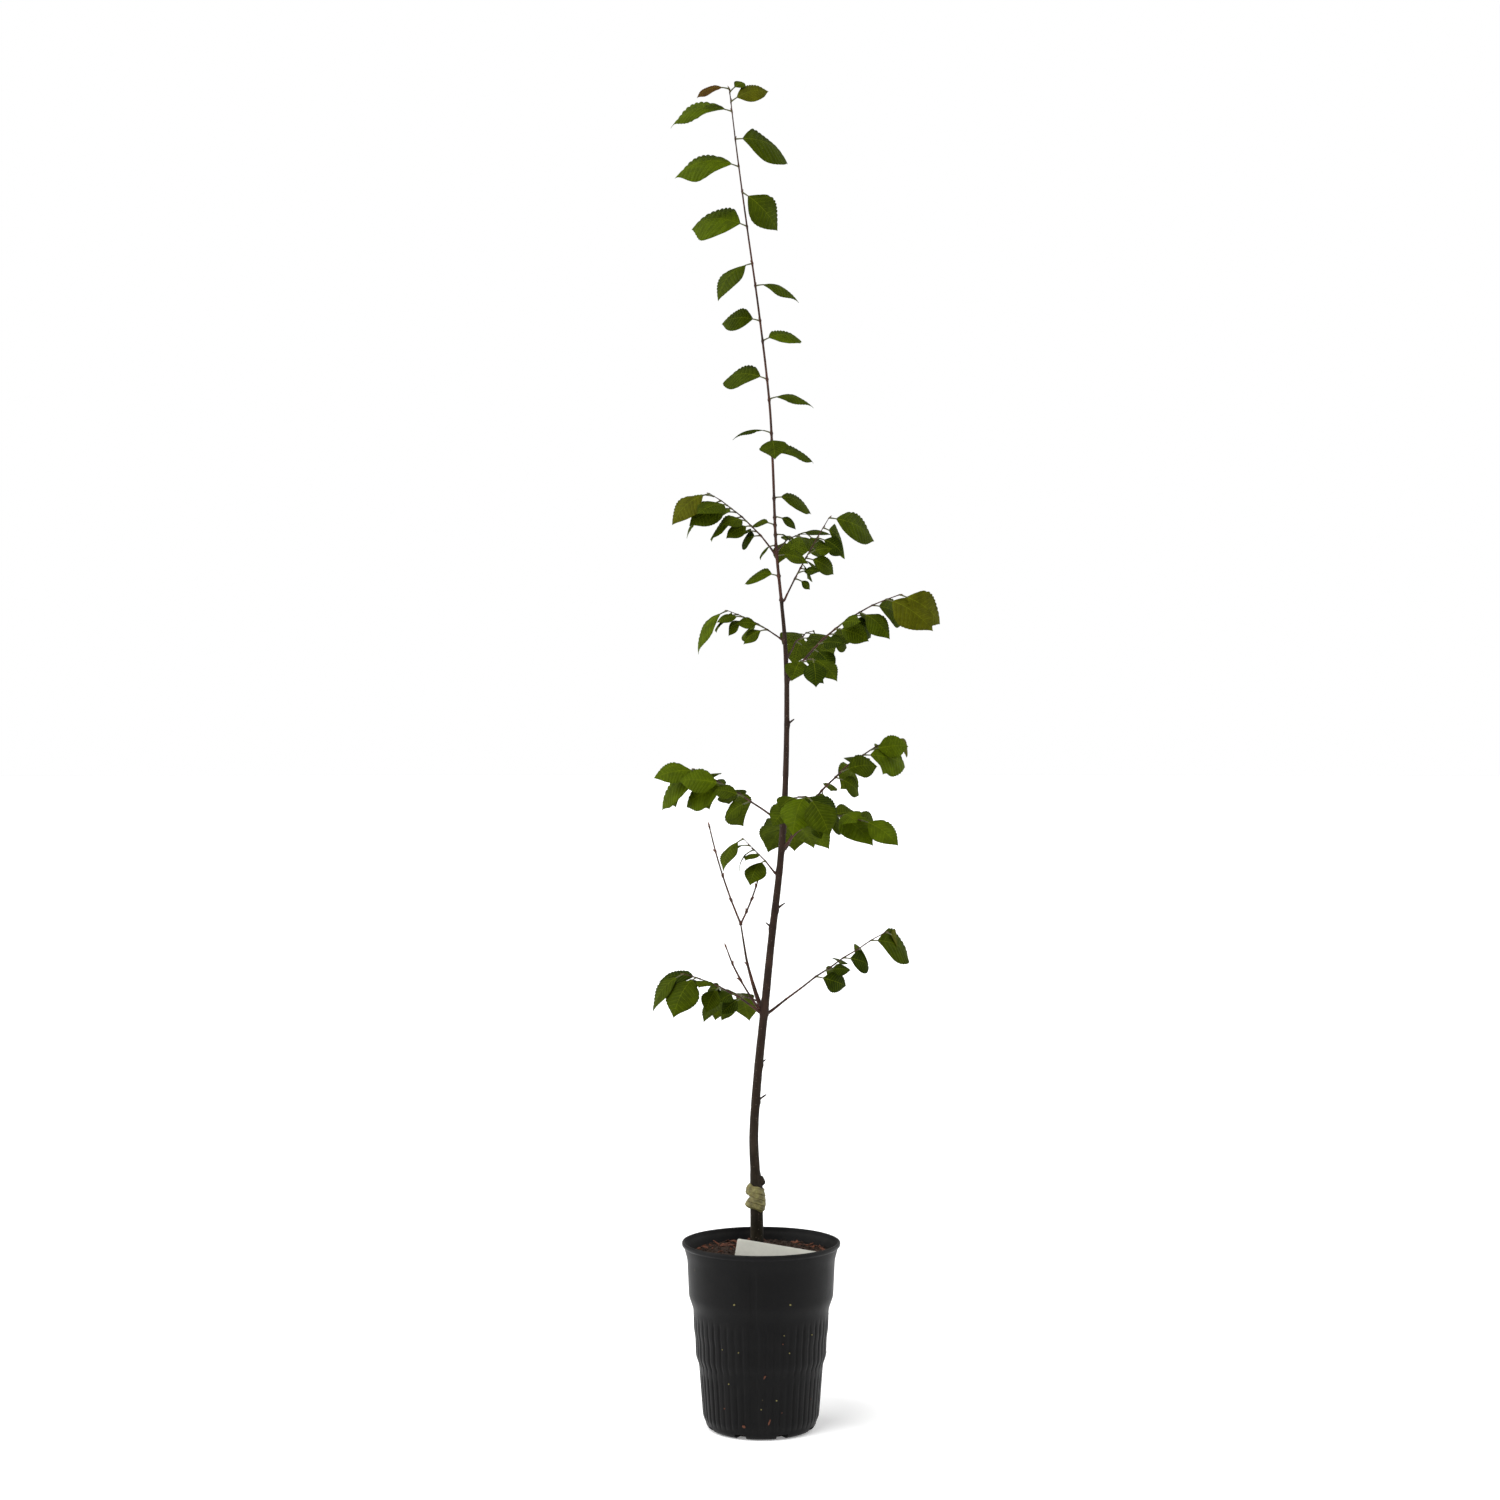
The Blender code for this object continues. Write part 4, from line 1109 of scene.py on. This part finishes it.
def pot_shape(settings):
    """A closed thin shell with a rolled lip, whose drain slots are open through the wall."""
    foot, top = POT_WALL_ENDS
    count = round((top - foot) / POT_ROW)
    heights = [foot + (top - foot) * k / count for k in range(count + 1)]
    outer = [*POT_FOOT, *[(pot_radius(z), z) for z in heights], *POT_LIP]
    inner = [*POT_WELL, *[(pot_radius(z) - POT_WALL, z + 0.4) for z in heights], *POT_MOUTH]
    angles, in_slot = pot_columns()
    shape = Shape()

    def row(radius, z, cut):
        return round_row(shape, angles, lambda a: radius + pot_sway(a, z, settings.sway) - cut(a, z), z)

    first = [row(radius, z, lambda a, z: wall_cut(a, z, settings)) for radius, z in outer]
    second = [row(radius, z, lambda a, z: 0) for radius, z in inner]
    skins = (first, second)
    for rows, height in zip(skins, (0.0, POT_WELL[0][1])):
        shape.fan(rows[0], shape.corner((0, 0, height * MM)))
    turn = len(angles)
    low, high = SLOT_ROWS
    for j in range(len(outer) - 1):
        for i in range(turn):
            n = (i + 1) % turn
            if i not in in_slot or not low <= j < high:
                for rows in skins:
                    shape.face((rows[j][i], rows[j][n], rows[j + 1][n], rows[j + 1][i]))
                continue
            for (p, a), (q, b), at_side in (
                ((j, i), (j, n), j == low),
                ((j + 1, i), (j + 1, n), j == high - 1),
                ((j, i), (j + 1, i), (i - 1) % turn not in in_slot),
                ((j, n), (j + 1, n), n not in in_slot),
            ):
                if at_side:
                    shape.face((first[p][a], first[q][b], second[q][b], second[p][a]))
    shape.strip(first[-1], second[-1])
    return shape


def soil_height(x, y):
    """Height of the mix's lumpy top at a place in millimetres."""
    crown = SOIL_CROWN * smooth_step(*SOIL_FALLS, math.hypot(x, y))
    lumps = noise.noise(Vector((x, y, 0)) / 9.0) + 0.6 * noise.noise(Vector((x, y, 7)) / 3.5)
    beside = smooth_step(TAG_LEFT - 14, TAG_LEFT - 2, x) * (1 - smooth_step(TAG_RIGHT, TAG_RIGHT + 8, x))
    dip = SOIL_DIP * (1 - smooth_step(TAG_DEPTH - 0.5, TAG_DEPTH + 4.0, y)) * beside
    return SOIL_TOP - crown - dip + SOIL_RELIEF * lumps


def soil_shape(sway):
    """The mix as one closed body: it fills the pot and has a lumpy top."""
    angles = pot_columns()[0][::2]
    side = [(r - SOIL_GAP, z + 0.3) for r, z in POT_WELL]
    side += [(pot_radius(z) - POT_WALL - SOIL_GAP, float(z)) for z in range(8, 160, 8)]
    shape = Shape()

    def row(radius, z, share, height):
        return round_row(shape, angles, lambda a: (radius + pot_sway(a, z, sway)) * share, height)

    rows = [row(radius, z, 1.0, z) for radius, z in side]
    rim = pot_radius(SOIL_RIM) - POT_WALL - SOIL_GAP
    rows += [row(rim, SOIL_RIM, 1 - k / SOIL_RINGS, soil_height) for k in range(SOIL_RINGS)]
    for low, high in zip(rows, rows[1:]):
        shape.strip(low, high)
    shape.fan(rows[0], shape.corner((0, 0, SOIL_FLOOR * MM)))
    shape.fan(rows[-1], shape.corner((0, 0, soil_height(0, 0) * MM)))
    return shape


def before_tag(x, y):
    return y < TAG_DEPTH and TAG_LEFT - 6 < x < TAG_RIGHT + 4


def is_open_soil(x, y, margin):
    """Whether a place on the mix, in millimetres, is clear of the stem, the tag and the wall."""
    by_stem = math.hypot(x - STEM[0].x, y) < STEM_REACH + margin
    by_tag = abs(y - TAG_DEPTH) < 1.0 + margin and TAG_LEFT - 4 - margin < x < TAG_RIGHT + margin
    return math.hypot(x, y) < SOIL_REACH - margin and not by_stem and not by_tag


def open_soil(rng, margin):
    """A random clear place on the mix."""
    while True:
        r = SOIL_REACH * math.sqrt(rng.random())
        angle = rng.uniform(0, 2 * math.pi)
        x, y = r * math.cos(angle), r * math.sin(angle)
        if is_open_soil(x, y, margin):
            return x, y


def crumbs_shape(count):
    """Closed irregular lumps strewn on the mix."""
    rng = random.Random("crumbs")
    work = bmesh.new()
    bmesh.ops.create_icosphere(work, subdivisions=1, radius=1.0)
    units = [vert.co.copy() for vert in work.verts]
    faces = [tuple(vert.index for vert in face.verts) for face in work.faces]
    work.free()
    shape = Shape()
    for _ in range(count):
        size = rng.uniform(*CRUMB_SIZES) * (1 + 1.2 * rng.random() ** 4)
        x, y = open_soil(rng, size)
        if before_tag(x, y):
            size = min(size, CRUMB_BEFORE_TAG)
        place = Vector((x, y, soil_height(x, y) + 0.25 * size)) * MM
        turn = Quaternion(direction(rng.uniform(0, 360), rng.uniform(-80, 80)), rng.uniform(0, 6.3))
        first = len(shape.corners)
        seed = Vector((rng.uniform(0, 50), rng.uniform(0, 50), rng.uniform(0, 50)))
        wide, deep, tall = size * MM, 0.8 * size * MM, 0.65 * size * MM
        for unit in units:
            rough = 1 + 0.5 * noise.noise(unit * 1.1 + seed) + 0.25 * noise.noise(unit * 2.7 + seed)
            shape.corner(place + turn @ (Vector((unit.x * wide, unit.y * deep, unit.z * tall)) * rough))
        for face in faces:
            shape.face(tuple(first + k for k in face))
    return shape


def add_shard(shape, rng, place, length, wide, thick, turn, finish=0):
    """A flat splintered shard: broken corners round its rim, and worn top and bottom faces."""
    count = rng.randint(6, 8)
    bend = rng.uniform(-0.16, 0.16) * length
    rings = [[], [], [], []]
    for k in range(count):
        angle = 2 * math.pi * (k + rng.uniform(-0.3, 0.3)) / count
        reach = rng.uniform(0.72, 1.08)
        x = length * math.cos(angle) * reach
        y = wide * math.sin(angle) * reach
        for ring, shrink, level in zip(rings, (0.8, 1.0, 0.96, 0.74), (-1.0, -0.55, 0.5, 1.0)):
            z = level * thick * rng.uniform(0.75, 1.1) + bend * (x / length) ** 2
            ring.append(place + turn @ (Vector((x * shrink, y * shrink, z)) * MM))
    shape.closed_rings(rings, finish)


def stuck_bits_shape():
    """Specks of moss and chips of bark stuck to the outside of the pot."""
    rng = random.Random("stuck")
    shape = Shape()
    bits = [(math.radians(-90) + math.asin(x / pot_radius(z)), z, *rest) for x, z, *rest in STUCK_BITS]
    for _ in range(STUCK_ELSEWHERE):
        size = rng.uniform(0.5, 1.1)
        angle, height = rng.uniform(-0.1, math.pi + 0.1), rng.uniform(12, 130)
        bits.append((angle, height, size, size, rng.randint(0, 1)))
    up = Vector((0, 0, 1))
    for angle, z, wide, tall, finish in bits:
        out = Vector((math.cos(angle), math.sin(angle), 0))
        place = (out * (pot_radius(z) + 0.1) + up * z) * MM
        turn = Matrix((out.cross(up), up, out)).transposed()
        turn = turn @ Matrix.Rotation(math.pi / 2 + rng.uniform(-0.5, 0.5), 3, "Z")
        add_shard(shape, rng, place, tall / 2, wide / 2, 0.35, turn, finish)
    return shape


def chips_shape(settings):
    """Flat shards of bark that lie on the mix in loose heaps, most of them nearly level."""
    rng = random.Random("chips")
    shape = Shape()
    heaps = [open_soil(rng, 5.0) for _ in range(settings.heaps)]
    made = 0
    while made < settings.chips:
        length = CHIP_LENGTH + CHIP_SPREAD * rng.random() ** 1.6
        heap = heaps[made % len(heaps)]
        x, y = open_soil(rng, length)
        if rng.random() < HEAP_SHARE:
            x, y = heap[0] + rng.gauss(0, HEAP_WIDTH), heap[1] + rng.gauss(0, HEAP_DEPTH)
        if before_tag(x, y) or not is_open_soil(x, y, length):
            continue
        made += 1
        wide = length * rng.uniform(0.3, 0.65)
        thick = rng.uniform(0.3, 0.75)
        place = Vector((x, y, soil_height(x, y) + thick + 0.2)) * MM
        turn = Matrix.Rotation(rng.uniform(0, 2 * math.pi), 3, "Z")
        for axis in "XY":
            turn = turn @ Matrix.Rotation(rng.gauss(0, 0.3), 3, axis)
        add_shard(shape, rng, place, length, wide, thick, turn)
    return shape


def corner_drop(distance):
    """How far a rounded corner lies below its edge, at a distance from its end."""
    if distance >= TAG_CORNER:
        return 0.0
    return TAG_CORNER - math.sqrt(max(0.0, TAG_CORNER**2 - (TAG_CORNER - distance) ** 2))


def tag_shape(bow):
    """The tag as a thin closed plate, pushed into the mix and bowed a little."""
    near = (0.0, 0.15, 0.4, 0.8, 1.2, TAG_CORNER)
    width = TAG_RIGHT - TAG_LEFT
    wide = width - 2 * TAG_CORNER
    across = [*near, *[TAG_CORNER + wide * k / TAG_COLUMNS for k in range(1, TAG_COLUMNS)]]
    across += [width - d for d in reversed(near)]
    shape = Shape()
    skins = []
    for skin in (-0.5, 0.5):
        rows = []
        for share in [k / TAG_ROWS for k in range(TAG_ROWS + 1)]:
            row = []
            for d in across:
                top = TAG_TOP - d * TAG_SLANT - corner_drop(d) - corner_drop(width - d)
                z = TAG_FOOT + (top - TAG_FOOT) * share
                x = TAG_LEFT + d - (TAG_TOP - z) * TAG_SLANT * (1 - d / width)
                back = bow / MM * (math.sin(math.pi * d / width) + 0.6 * share * d / width)
                row.append(shape.corner(Vector((x, TAG_DEPTH + skin * TAG_THICKNESS + back, z)) * MM))
            rows.append(row)
        skins.append(rows)
    front, back = skins
    for rows in skins:
        for low, high in zip(rows, rows[1:]):
            for i in range(len(across) - 1):
                shape.face((low[i], low[i + 1], high[i + 1], high[i]))
    for i in range(len(across) - 1):
        for j in (0, -1):
            shape.face((front[j][i], front[j][i + 1], back[j][i + 1], back[j][i]))
    for j in range(TAG_ROWS):
        for i in (0, -1):
            shape.face((front[j][i], front[j + 1][i], back[j + 1][i], back[j][i]))
    return shape


def tape_shape(turns):
    """Tape wound up the union: its turns slant and lap over each other in soft lumps."""
    rings = []
    for share in [j / WRAP_ROWS for j in range(WRAP_ROWS + 1)]:
        ring = []
        for angle in [2 * math.pi * k / WRAP_SIDES for k in range(WRAP_SIDES)]:
            low = WRAP_LOW + 1.6 - 1.9 * math.cos(angle) + 0.7 * math.sin(3 * angle + 1)
            high = WRAP_HIGH + 1.6 - 2.4 * math.cos(angle) + 0.6 * math.sin(4 * angle)
            z = low + (high - low) * share
            centre, radius = stem_at(z)
            phase = (share * turns + angle / (2 * math.pi) + 0.1 * math.sin(2 * angle)) % 1.0
            lap = smooth_step(0.0, WRAP_LAP, phase) * (1 - 0.8 * phase)
            around = Vector((math.cos(angle), math.sin(angle), 0))
            crease = noise.noise(around * 2.2 + Vector((0, 0, z / 2.6 + 2 * math.sin(angle))))
            crease += 0.5 * noise.noise(around * 5.0 + Vector((9, 0, z / 1.3)))
            rise = WRAP_LAYER * (0.45 + 0.6 * lap) + WRAP_CREASE * crease
            for height, toward, tall, broad, lump in WRAP_LUMPS:
                turn = (math.degrees(angle) - toward + 180) % 360 - 180
                rise += lump * math.exp(-(((z - height) / tall) ** 2) - (turn / broad) ** 2)
            ends = math.sqrt(min(1.0, share * 11, (1 - share) * 11))
            r = radius + (0.2 + max(0.4, rise) * ends) * MM
            ring.append(Vector((centre.x + r * around.x, centre.y + r * around.y, z * MM)))
        rings.append(ring)
    shape = Shape()
    shape.closed_rings(rings)
    return shape


# ---------------------------------------------------------------- wood


def stem_relief(depth):
    """The rise of the stem's skin: rough low down, finer above, with a swelling at each shoot."""
    joints = [(shoot.height, direction(shoot.azimuth, 0), shoot.radius) for shoot in SHOOTS]
    joints += [(height, direction(azimuth, 0), SPUR_RADIUS) for height, azimuth, _ in SPURS]

    def rise(place, out):
        z = place.z / MM
        ridges = noise.noise(Vector((out.x * 3.4, out.y * 3.4, z / 14.0)))
        ridges += 0.5 * noise.noise(Vector((out.x * 6.5, out.y * 6.5, z / 4.0)))
        total = depth * (1.0 if z < ROUGH_BARK_TOP else YOUNG_RELIEF) * ridges
        flare = math.exp(-(z - SOIL_TOP) / 4.5)
        total += 0.7 * MM * min(flare, 1.6) * max(0.0, math.cos(5 * math.atan2(out.y, out.x) + 0.6))
        for height, toward, radius in joints:
            away = abs(z - height)
            if away < JOINT_REACH:
                facing = max(0.0, out.dot(toward))
                swelling = JOINT_SWELLING * radius * MM * facing * facing
                total += swelling * math.exp(-((away / 3.2) ** 2))
                total += JOINT_RING * MM * math.exp(-((away / 1.4) ** 2))
        return total

    return rise


def stem_rows(low, high, past=0.0):
    """Even heights up the stem, the last a little past high, and its centre and radius at each."""
    count = round((high - low) / STEM_ROW)
    heights = [low + (high + past - low) * k / count for k in range(count + 1)]
    return heights, *zip(*[stem_at(height) for height in heights])


def stem_shape(relief):
    """The stem up to its fork with its bark, the rootstock's stub and the short spurs."""
    heights, centres, radii = stem_rows(STEM_FOOT, FORK_HEIGHT, 0.3)
    points = [Vector((p.x, p.y, h * MM)) for p, h in zip(centres, heights)]
    shape = Shape()
    add_tube(shape, points, radii, 26, stem_relief(relief), rounded=False)
    foot, _ = stem_at(STUB_HEIGHT)
    lean = direction(0, 90 - STUB_LEAN)
    side = lean.orthogonal().normalized()
    rings = []
    for along, share in STUB_OUTLINE:
        point = foot + lean * along * STUB_LENGTH * MM
        ring = []
        for out in circle(22, side, lean.cross(side)):
            lump = 1 + 0.10 * noise.noise(out * 1.7 + point * 260)
            ring.append(point + out * STUB_RADIUS * MM * share * lump)
        rings.append(ring)
    shape.closed_rings(rings)
    for height, azimuth, length in SPURS:
        foot, radius = stem_at(height)
        along = direction(azimuth, SPUR_RISE)
        reach = radius + length * MM
        points = [foot + along * reach * share for share in (0.0, 0.4, 0.55, 0.7, 0.85, 1.0)]
        add_tube(shape, points, [SPUR_RADIUS * MM * k for k in (1.5, 1.4, 1.05, 0.95, 0.8, 0.62)], 8)
    return shape


def twig_relief(depth):
    return lambda place, out: depth * 0.22 * noise.noise(place * 420 + out * 1.3)


def swollen(radii, points, marks, amount):
    """The radii with a swelling at each mark."""
    wide = list(radii)
    for mark in marks:
        for i in range(max(0, mark - 4), min(len(points), mark + 5)):
            away = (points[i] - points[mark]).length / (1.3 * MM)
            wide[i] = max(wide[i], radii[i] * (1 + amount * math.exp(-away * away)))
    return wide


def boughs_shape(relief):
    """Every bough from inside the stem to where its leaves or twigs begin."""
    shape = Shape()
    for shoot in SHOOTS:
        if not shoot.bare:
            continue
        points, radii, _ = shoot_run(shoot)
        centre, _ = stem_at(shoot.height - 0.6)
        inward = (points[0] - centre).normalized()
        points = [centre + inward * 0.3 * MM, *points[:3]]
        radii = [radii[0] * 1.9, radii[0] * 1.35, *radii[1:3]]
        fine, wide, marks = smooth_run(points, radii, 1.2 * MM)
        add_tube(shape, fine, swollen(wide, fine, marks[2:-1], 0.22), 12, relief)
    return shape


def twigs_shape(relief):
    """Every leafy or bare twig that goes on from a bough, and the leader."""
    shape = Shape()
    for shoot in SHOOTS:
        if shoot is FORK:
            continue
        points, radii, _ = shoot_run(shoot)
        if shoot.bare:
            points, radii = points[2:], radii[2:]
        else:
            points = [stem_at(shoot.height - 0.4)[0], *points]
            radii = [radii[0] * 1.9, radii[0] * 1.3, *radii[1:]]
        if not shoot.blades:
            radii = [radius * BARE_GIRTH for radius in radii]
        fine, wide, marks = smooth_run(points, radii, 1.0 * MM)
        add_tube(shape, fine, swollen(wide, fine, marks[1:], 0.45), 10, relief)
    points, radii, _ = shoot_run(FORK)
    for arm in fork_arms(points[2]):
        wide = [radii[2] * BARE_GIRTH * (1 - FORK_ARM_TAPER * k) for k in range(len(arm))]
        arm = [points[1].lerp(points[2], 0.97), *arm]
        fine, wide, marks = smooth_run(arm, [wide[0] * 1.1, *wide], 1.0 * MM)
        add_tube(shape, fine, swollen(wide, fine, marks[1:], 0.7), 10, relief)
    heights, points, radii = stem_rows(FORK_HEIGHT, STEM[-1].height)
    joints = [row.height for row in LEADER] + [s.height for s in SHOOTS if s.height > FORK_HEIGHT]
    marks = [nearest(heights, height) for height in joints]
    add_tube(shape, points, swollen(radii, points, marks, 0.5), 12, relief)
    return shape


def buds_shape():
    """A slender bud in each leaf's axil, at the shoots' tips and along the bare twigs."""
    rng = random.Random("buds")
    shape = Shape()
    for leaf in all_leaves():
        size = rng.uniform(2.2, 3.4)
        axis = (leaf.heading * 0.5 + leaf.axis).normalized()
        add_bud(shape, leaf.root + axis * 0.5 * MM, axis, size * MM, 0.14 * size * MM + 0.15 * MM)
    fork = shoot_run(FORK)[0]
    for line in (*fork_arms(fork[2]), shoot_run(BARE)[0][2:], fork[:3]):
        for k in range(1, len(line)):
            along = (line[k] - line[k - 1]).normalized()
            out = along.cross(Vector((0, -1, 0))).normalized() * (-1) ** k
            last = k == len(line) - 1
            axis = along if last else (along + out * rng.uniform(0.5, 0.8)).normalized()
            size = rng.uniform(4.2, 5.4) if last else rng.uniform(3.4, 5.4)
            add_bud(shape, line[k] - axis * 0.2 * MM, axis, size * MM, 0.95 * MM, 8)
    return shape


# ---------------------------------------------------------------- operators


class BEECH_OT_pot(bpy.types.Operator):
    """Makes the stepped nursery pot with its rolled lip and drain slots"""

    bl_idname = "beech.make_pot"
    bl_label = "Nursery pot"

    def execute(self, context):
        settings = context.scene.beech_pot
        settle(["pot"], "nursery_pot", pot_shape(settings), [pot_material(settings)], 55)
        return {"FINISHED"}


class BEECH_OT_soil(bpy.types.Operator):
    """Makes the potting mix with its crumbs and bark chips"""

    bl_idname = "beech.make_soil"
    bl_label = "Potting mix"

    def execute(self, context):
        settings = context.scene.beech_soil
        mix = soil_material(settings)
        bark = chip_material(settings)
        moss = soft_material("moss", settings.moss, 0.8, 900.0, 0.2)
        for name, nodes, shape, materials, sharp in (
            ("soil_body", ["potting_mix"], soil_shape(context.scene.beech_pot.sway), [mix], 180),
            ("soil_crumbs", [], crumbs_shape(settings.crumbs), [mix], 30),
            ("bark_chips", [], chips_shape(settings), [bark], 35),
            ("stuck_bits", [], stuck_bits_shape(), [bark, moss], 35),
        ):
            settle(nodes, name, shape, materials, sharp)
        return {"FINISHED"}


class BEECH_OT_tag(bpy.types.Operator):
    """Makes the blank plant tag"""

    bl_idname = "beech.make_tag"
    bl_label = "Plant tag"

    def execute(self, context):
        settings = context.scene.beech_tag
        plastic = [tag_material(settings)]
        settle(["plant_label"], "plant_tag", tag_shape(settings.bow), plastic)
        return {"FINISHED"}


class BEECH_OT_tape(bpy.types.Operator):
    """Makes the grafting tape wound round the union"""

    bl_idname = "beech.make_tape"
    bl_label = "Grafting tape"

    def execute(self, context):
        settings = context.scene.beech_tape
        film = [tape_material(settings)]
        settle(["graft_wrap"], "graft_tape_turns", tape_shape(settings.turns), film, 50)
        return {"FINISHED"}


class BEECH_OT_wood(bpy.types.Operator):
    """Makes the stem, the boughs, the twigs and the buds"""

    bl_idname = "beech.make_wood"
    bl_label = "Stem, boughs and twigs"

    def execute(self, context):
        settings = context.scene.beech_bark
        stem, twig = stem_material(settings), twig_material(settings)
        bud = soft_material("bud_scale", settings.bud, 0.5, 1400.0)
        relief = twig_relief(settings.relief)
        for name, nodes, shape, material in (
            ("stem_bark", ["trunk"], stem_shape(settings.relief), stem),
            ("boughs_bark", BOUGHS, boughs_shape(relief), twig),
            ("twigs_bark", MASSES, twigs_shape(relief), twig),
            ("buds", [], buds_shape(), bud),
        ):
            settle(nodes, name, shape, [material], 60)
        return {"FINISHED"}


class BEECH_OT_leaves(bpy.types.Operator):
    """Makes the leaves, in pieces of one tint each, and their stalks"""

    bl_idname = "beech.make_leaves"
    bl_label = "Leaves"

    def execute(self, context):
        settings = context.scene.beech_leaf
        leaves = all_leaves()
        for letter, name in TINTS.items():
            materials = leaf_materials(name, getattr(settings, name))
            tinted = [leaf for leaf in leaves if leaf.tint == letter]
            lots = math.ceil(len(tinted) / LEAVES_IN_PIECE)
            for k in range(lots):
                shape = Shape()
                for leaf in tinted[k::lots]:
                    add_blade(shape, leaf, settings.vein_pairs, settings.pleat)
                settle([], f"leaves_{name}_{k + 1}", shape, materials, 70)
        stalks = Shape()
        for leaf in leaves:
            add_stalk(stalks, leaf)
        stalk = soft_material("leaf_stalk", settings.stalk, 0.5, 1400.0)
        settle([], "leaf_stalks", stalks, [stalk], 60)
        return {"FINISHED"}


class BEECH_OT_stage(bpy.types.Operator):
    """Makes the pale floor, the soft light and the camera"""

    bl_idname = "beech.make_stage"
    bl_label = "Stage"

    def execute(self, context):
        scene = context.scene
        settings = scene.beech_stage
        shape = Shape()
        outs = circle(FLOOR_CORNERS, Vector((1, 0, 0)), Vector((0, 1, 0)))
        shape.face(tuple(shape.corner(out * FLOOR_REACH - Vector((0, 0, 0.0005))) for out in outs))
        material, tree = new_material(
            "floor_paper", 0.9, 0.2, Emission_Color=(1, 1, 1, 1), Emission_Strength=settings.glow
        )
        tone = toned(tree, settings.floor, 0.995, 1.0, Scale=3.0, Softness=0.4)
        put(tree, tone, tree.nodes["Principled BSDF"].inputs["Base Color"])
        floor = make_piece("floor", shape, [material])
        world = bpy.data.worlds.new("studio")
        scene.world = world
        world.use_nodes = True
        tree = world.node_tree
        white = (1, 1, 1, 1)
        seen = tree.nodes["Background"]
        seen.inputs["Color"].default_value = white
        seen.inputs["Strength"].default_value = 1.0
        lit = add_node(tree, "Background", white, settings.sky)
        by_view = add_node(tree, "LightPath").outputs["Is Camera Ray"]
        surface = tree.nodes["World Output"].inputs["Surface"]
        put(tree, add_node(tree, "MixShader", by_view, lit, seen), surface)
        for name, (azimuth, elevation, spread) in LIGHTS.items():
            light = bpy.data.lights.new(name + "_light", "SUN")
            light.energy = getattr(settings, name)
            light.angle = math.radians(spread)
            lamp = bpy.data.objects.new(light.name, light)
            lamp.rotation_mode = "QUATERNION"
            lamp.rotation_quaternion = direction(azimuth, elevation).to_track_quat("Z", "Y")
            scene.collection.objects.link(lamp)
        camera = bpy.data.objects.new("camera", bpy.data.cameras.new("camera"))
        camera.location = CAMERA_PLACE
        camera.rotation_euler = (math.radians(90), 0.0, 0.0)
        camera.data.lens = CAMERA_LENS
        camera.data.sensor_width = CAMERA_SENSOR
        scene.collection.objects.link(camera)
        scene.camera = camera
        scene.view_settings.view_transform = "Standard"
        return {"FINISHED"}


class BEECH_PT_panel(bpy.types.Panel):
    """Lists what the plant is made of"""

    bl_idname = "BEECH_PT_panel"
    bl_label = "Potted beech"
    bl_space_type = "VIEW_3D"
    bl_region_type = "UI"
    bl_category = "Beech"

    def draw(self, context):
        for name, (operator, _) in PARTS.items():
            box = self.layout.box()
            box.operator(operator.bl_idname)
            group = getattr(context.scene, name)
            for key in group.bl_rna.properties.keys():
                if key not in {"rna_type", "name"}:
                    box.prop(group, key)


# What is made, in order: the scene's settings, the operator that reads them, and their class.
PARTS = {
    "beech_stage": (BEECH_OT_stage, BeechStageSettings),
    "beech_pot": (BEECH_OT_pot, BeechPotSettings),
    "beech_soil": (BEECH_OT_soil, BeechSoilSettings),
    "beech_tag": (BEECH_OT_tag, BeechTagSettings),
    "beech_tape": (BEECH_OT_tape, BeechTapeSettings),
    "beech_bark": (BEECH_OT_wood, BeechBarkSettings),
    "beech_leaf": (BEECH_OT_leaves, BeechLeafSettings),
}


def register():
    for name, (operator, group) in PARTS.items():
        bpy.utils.register_class(group)
        setattr(bpy.types.Scene, name, PointerProperty(type=group))
        bpy.utils.register_class(operator)
    bpy.utils.register_class(BEECH_PT_panel)


def unregister():
    bpy.utils.unregister_class(BEECH_PT_panel)
    for name, (operator, group) in PARTS.items():
        bpy.utils.unregister_class(operator)
        delattr(bpy.types.Scene, name)
        bpy.utils.unregister_class(group)


def main():
    register()
    bpy.ops.beech.make_stage()
    bpy.ops.beech.make_pot()
    bpy.ops.beech.make_soil()
    bpy.ops.beech.make_tag()
    bpy.ops.beech.make_tape()
    bpy.ops.beech.make_wood()
    bpy.ops.beech.make_leaves()


if __name__ == "__main__":
    main()
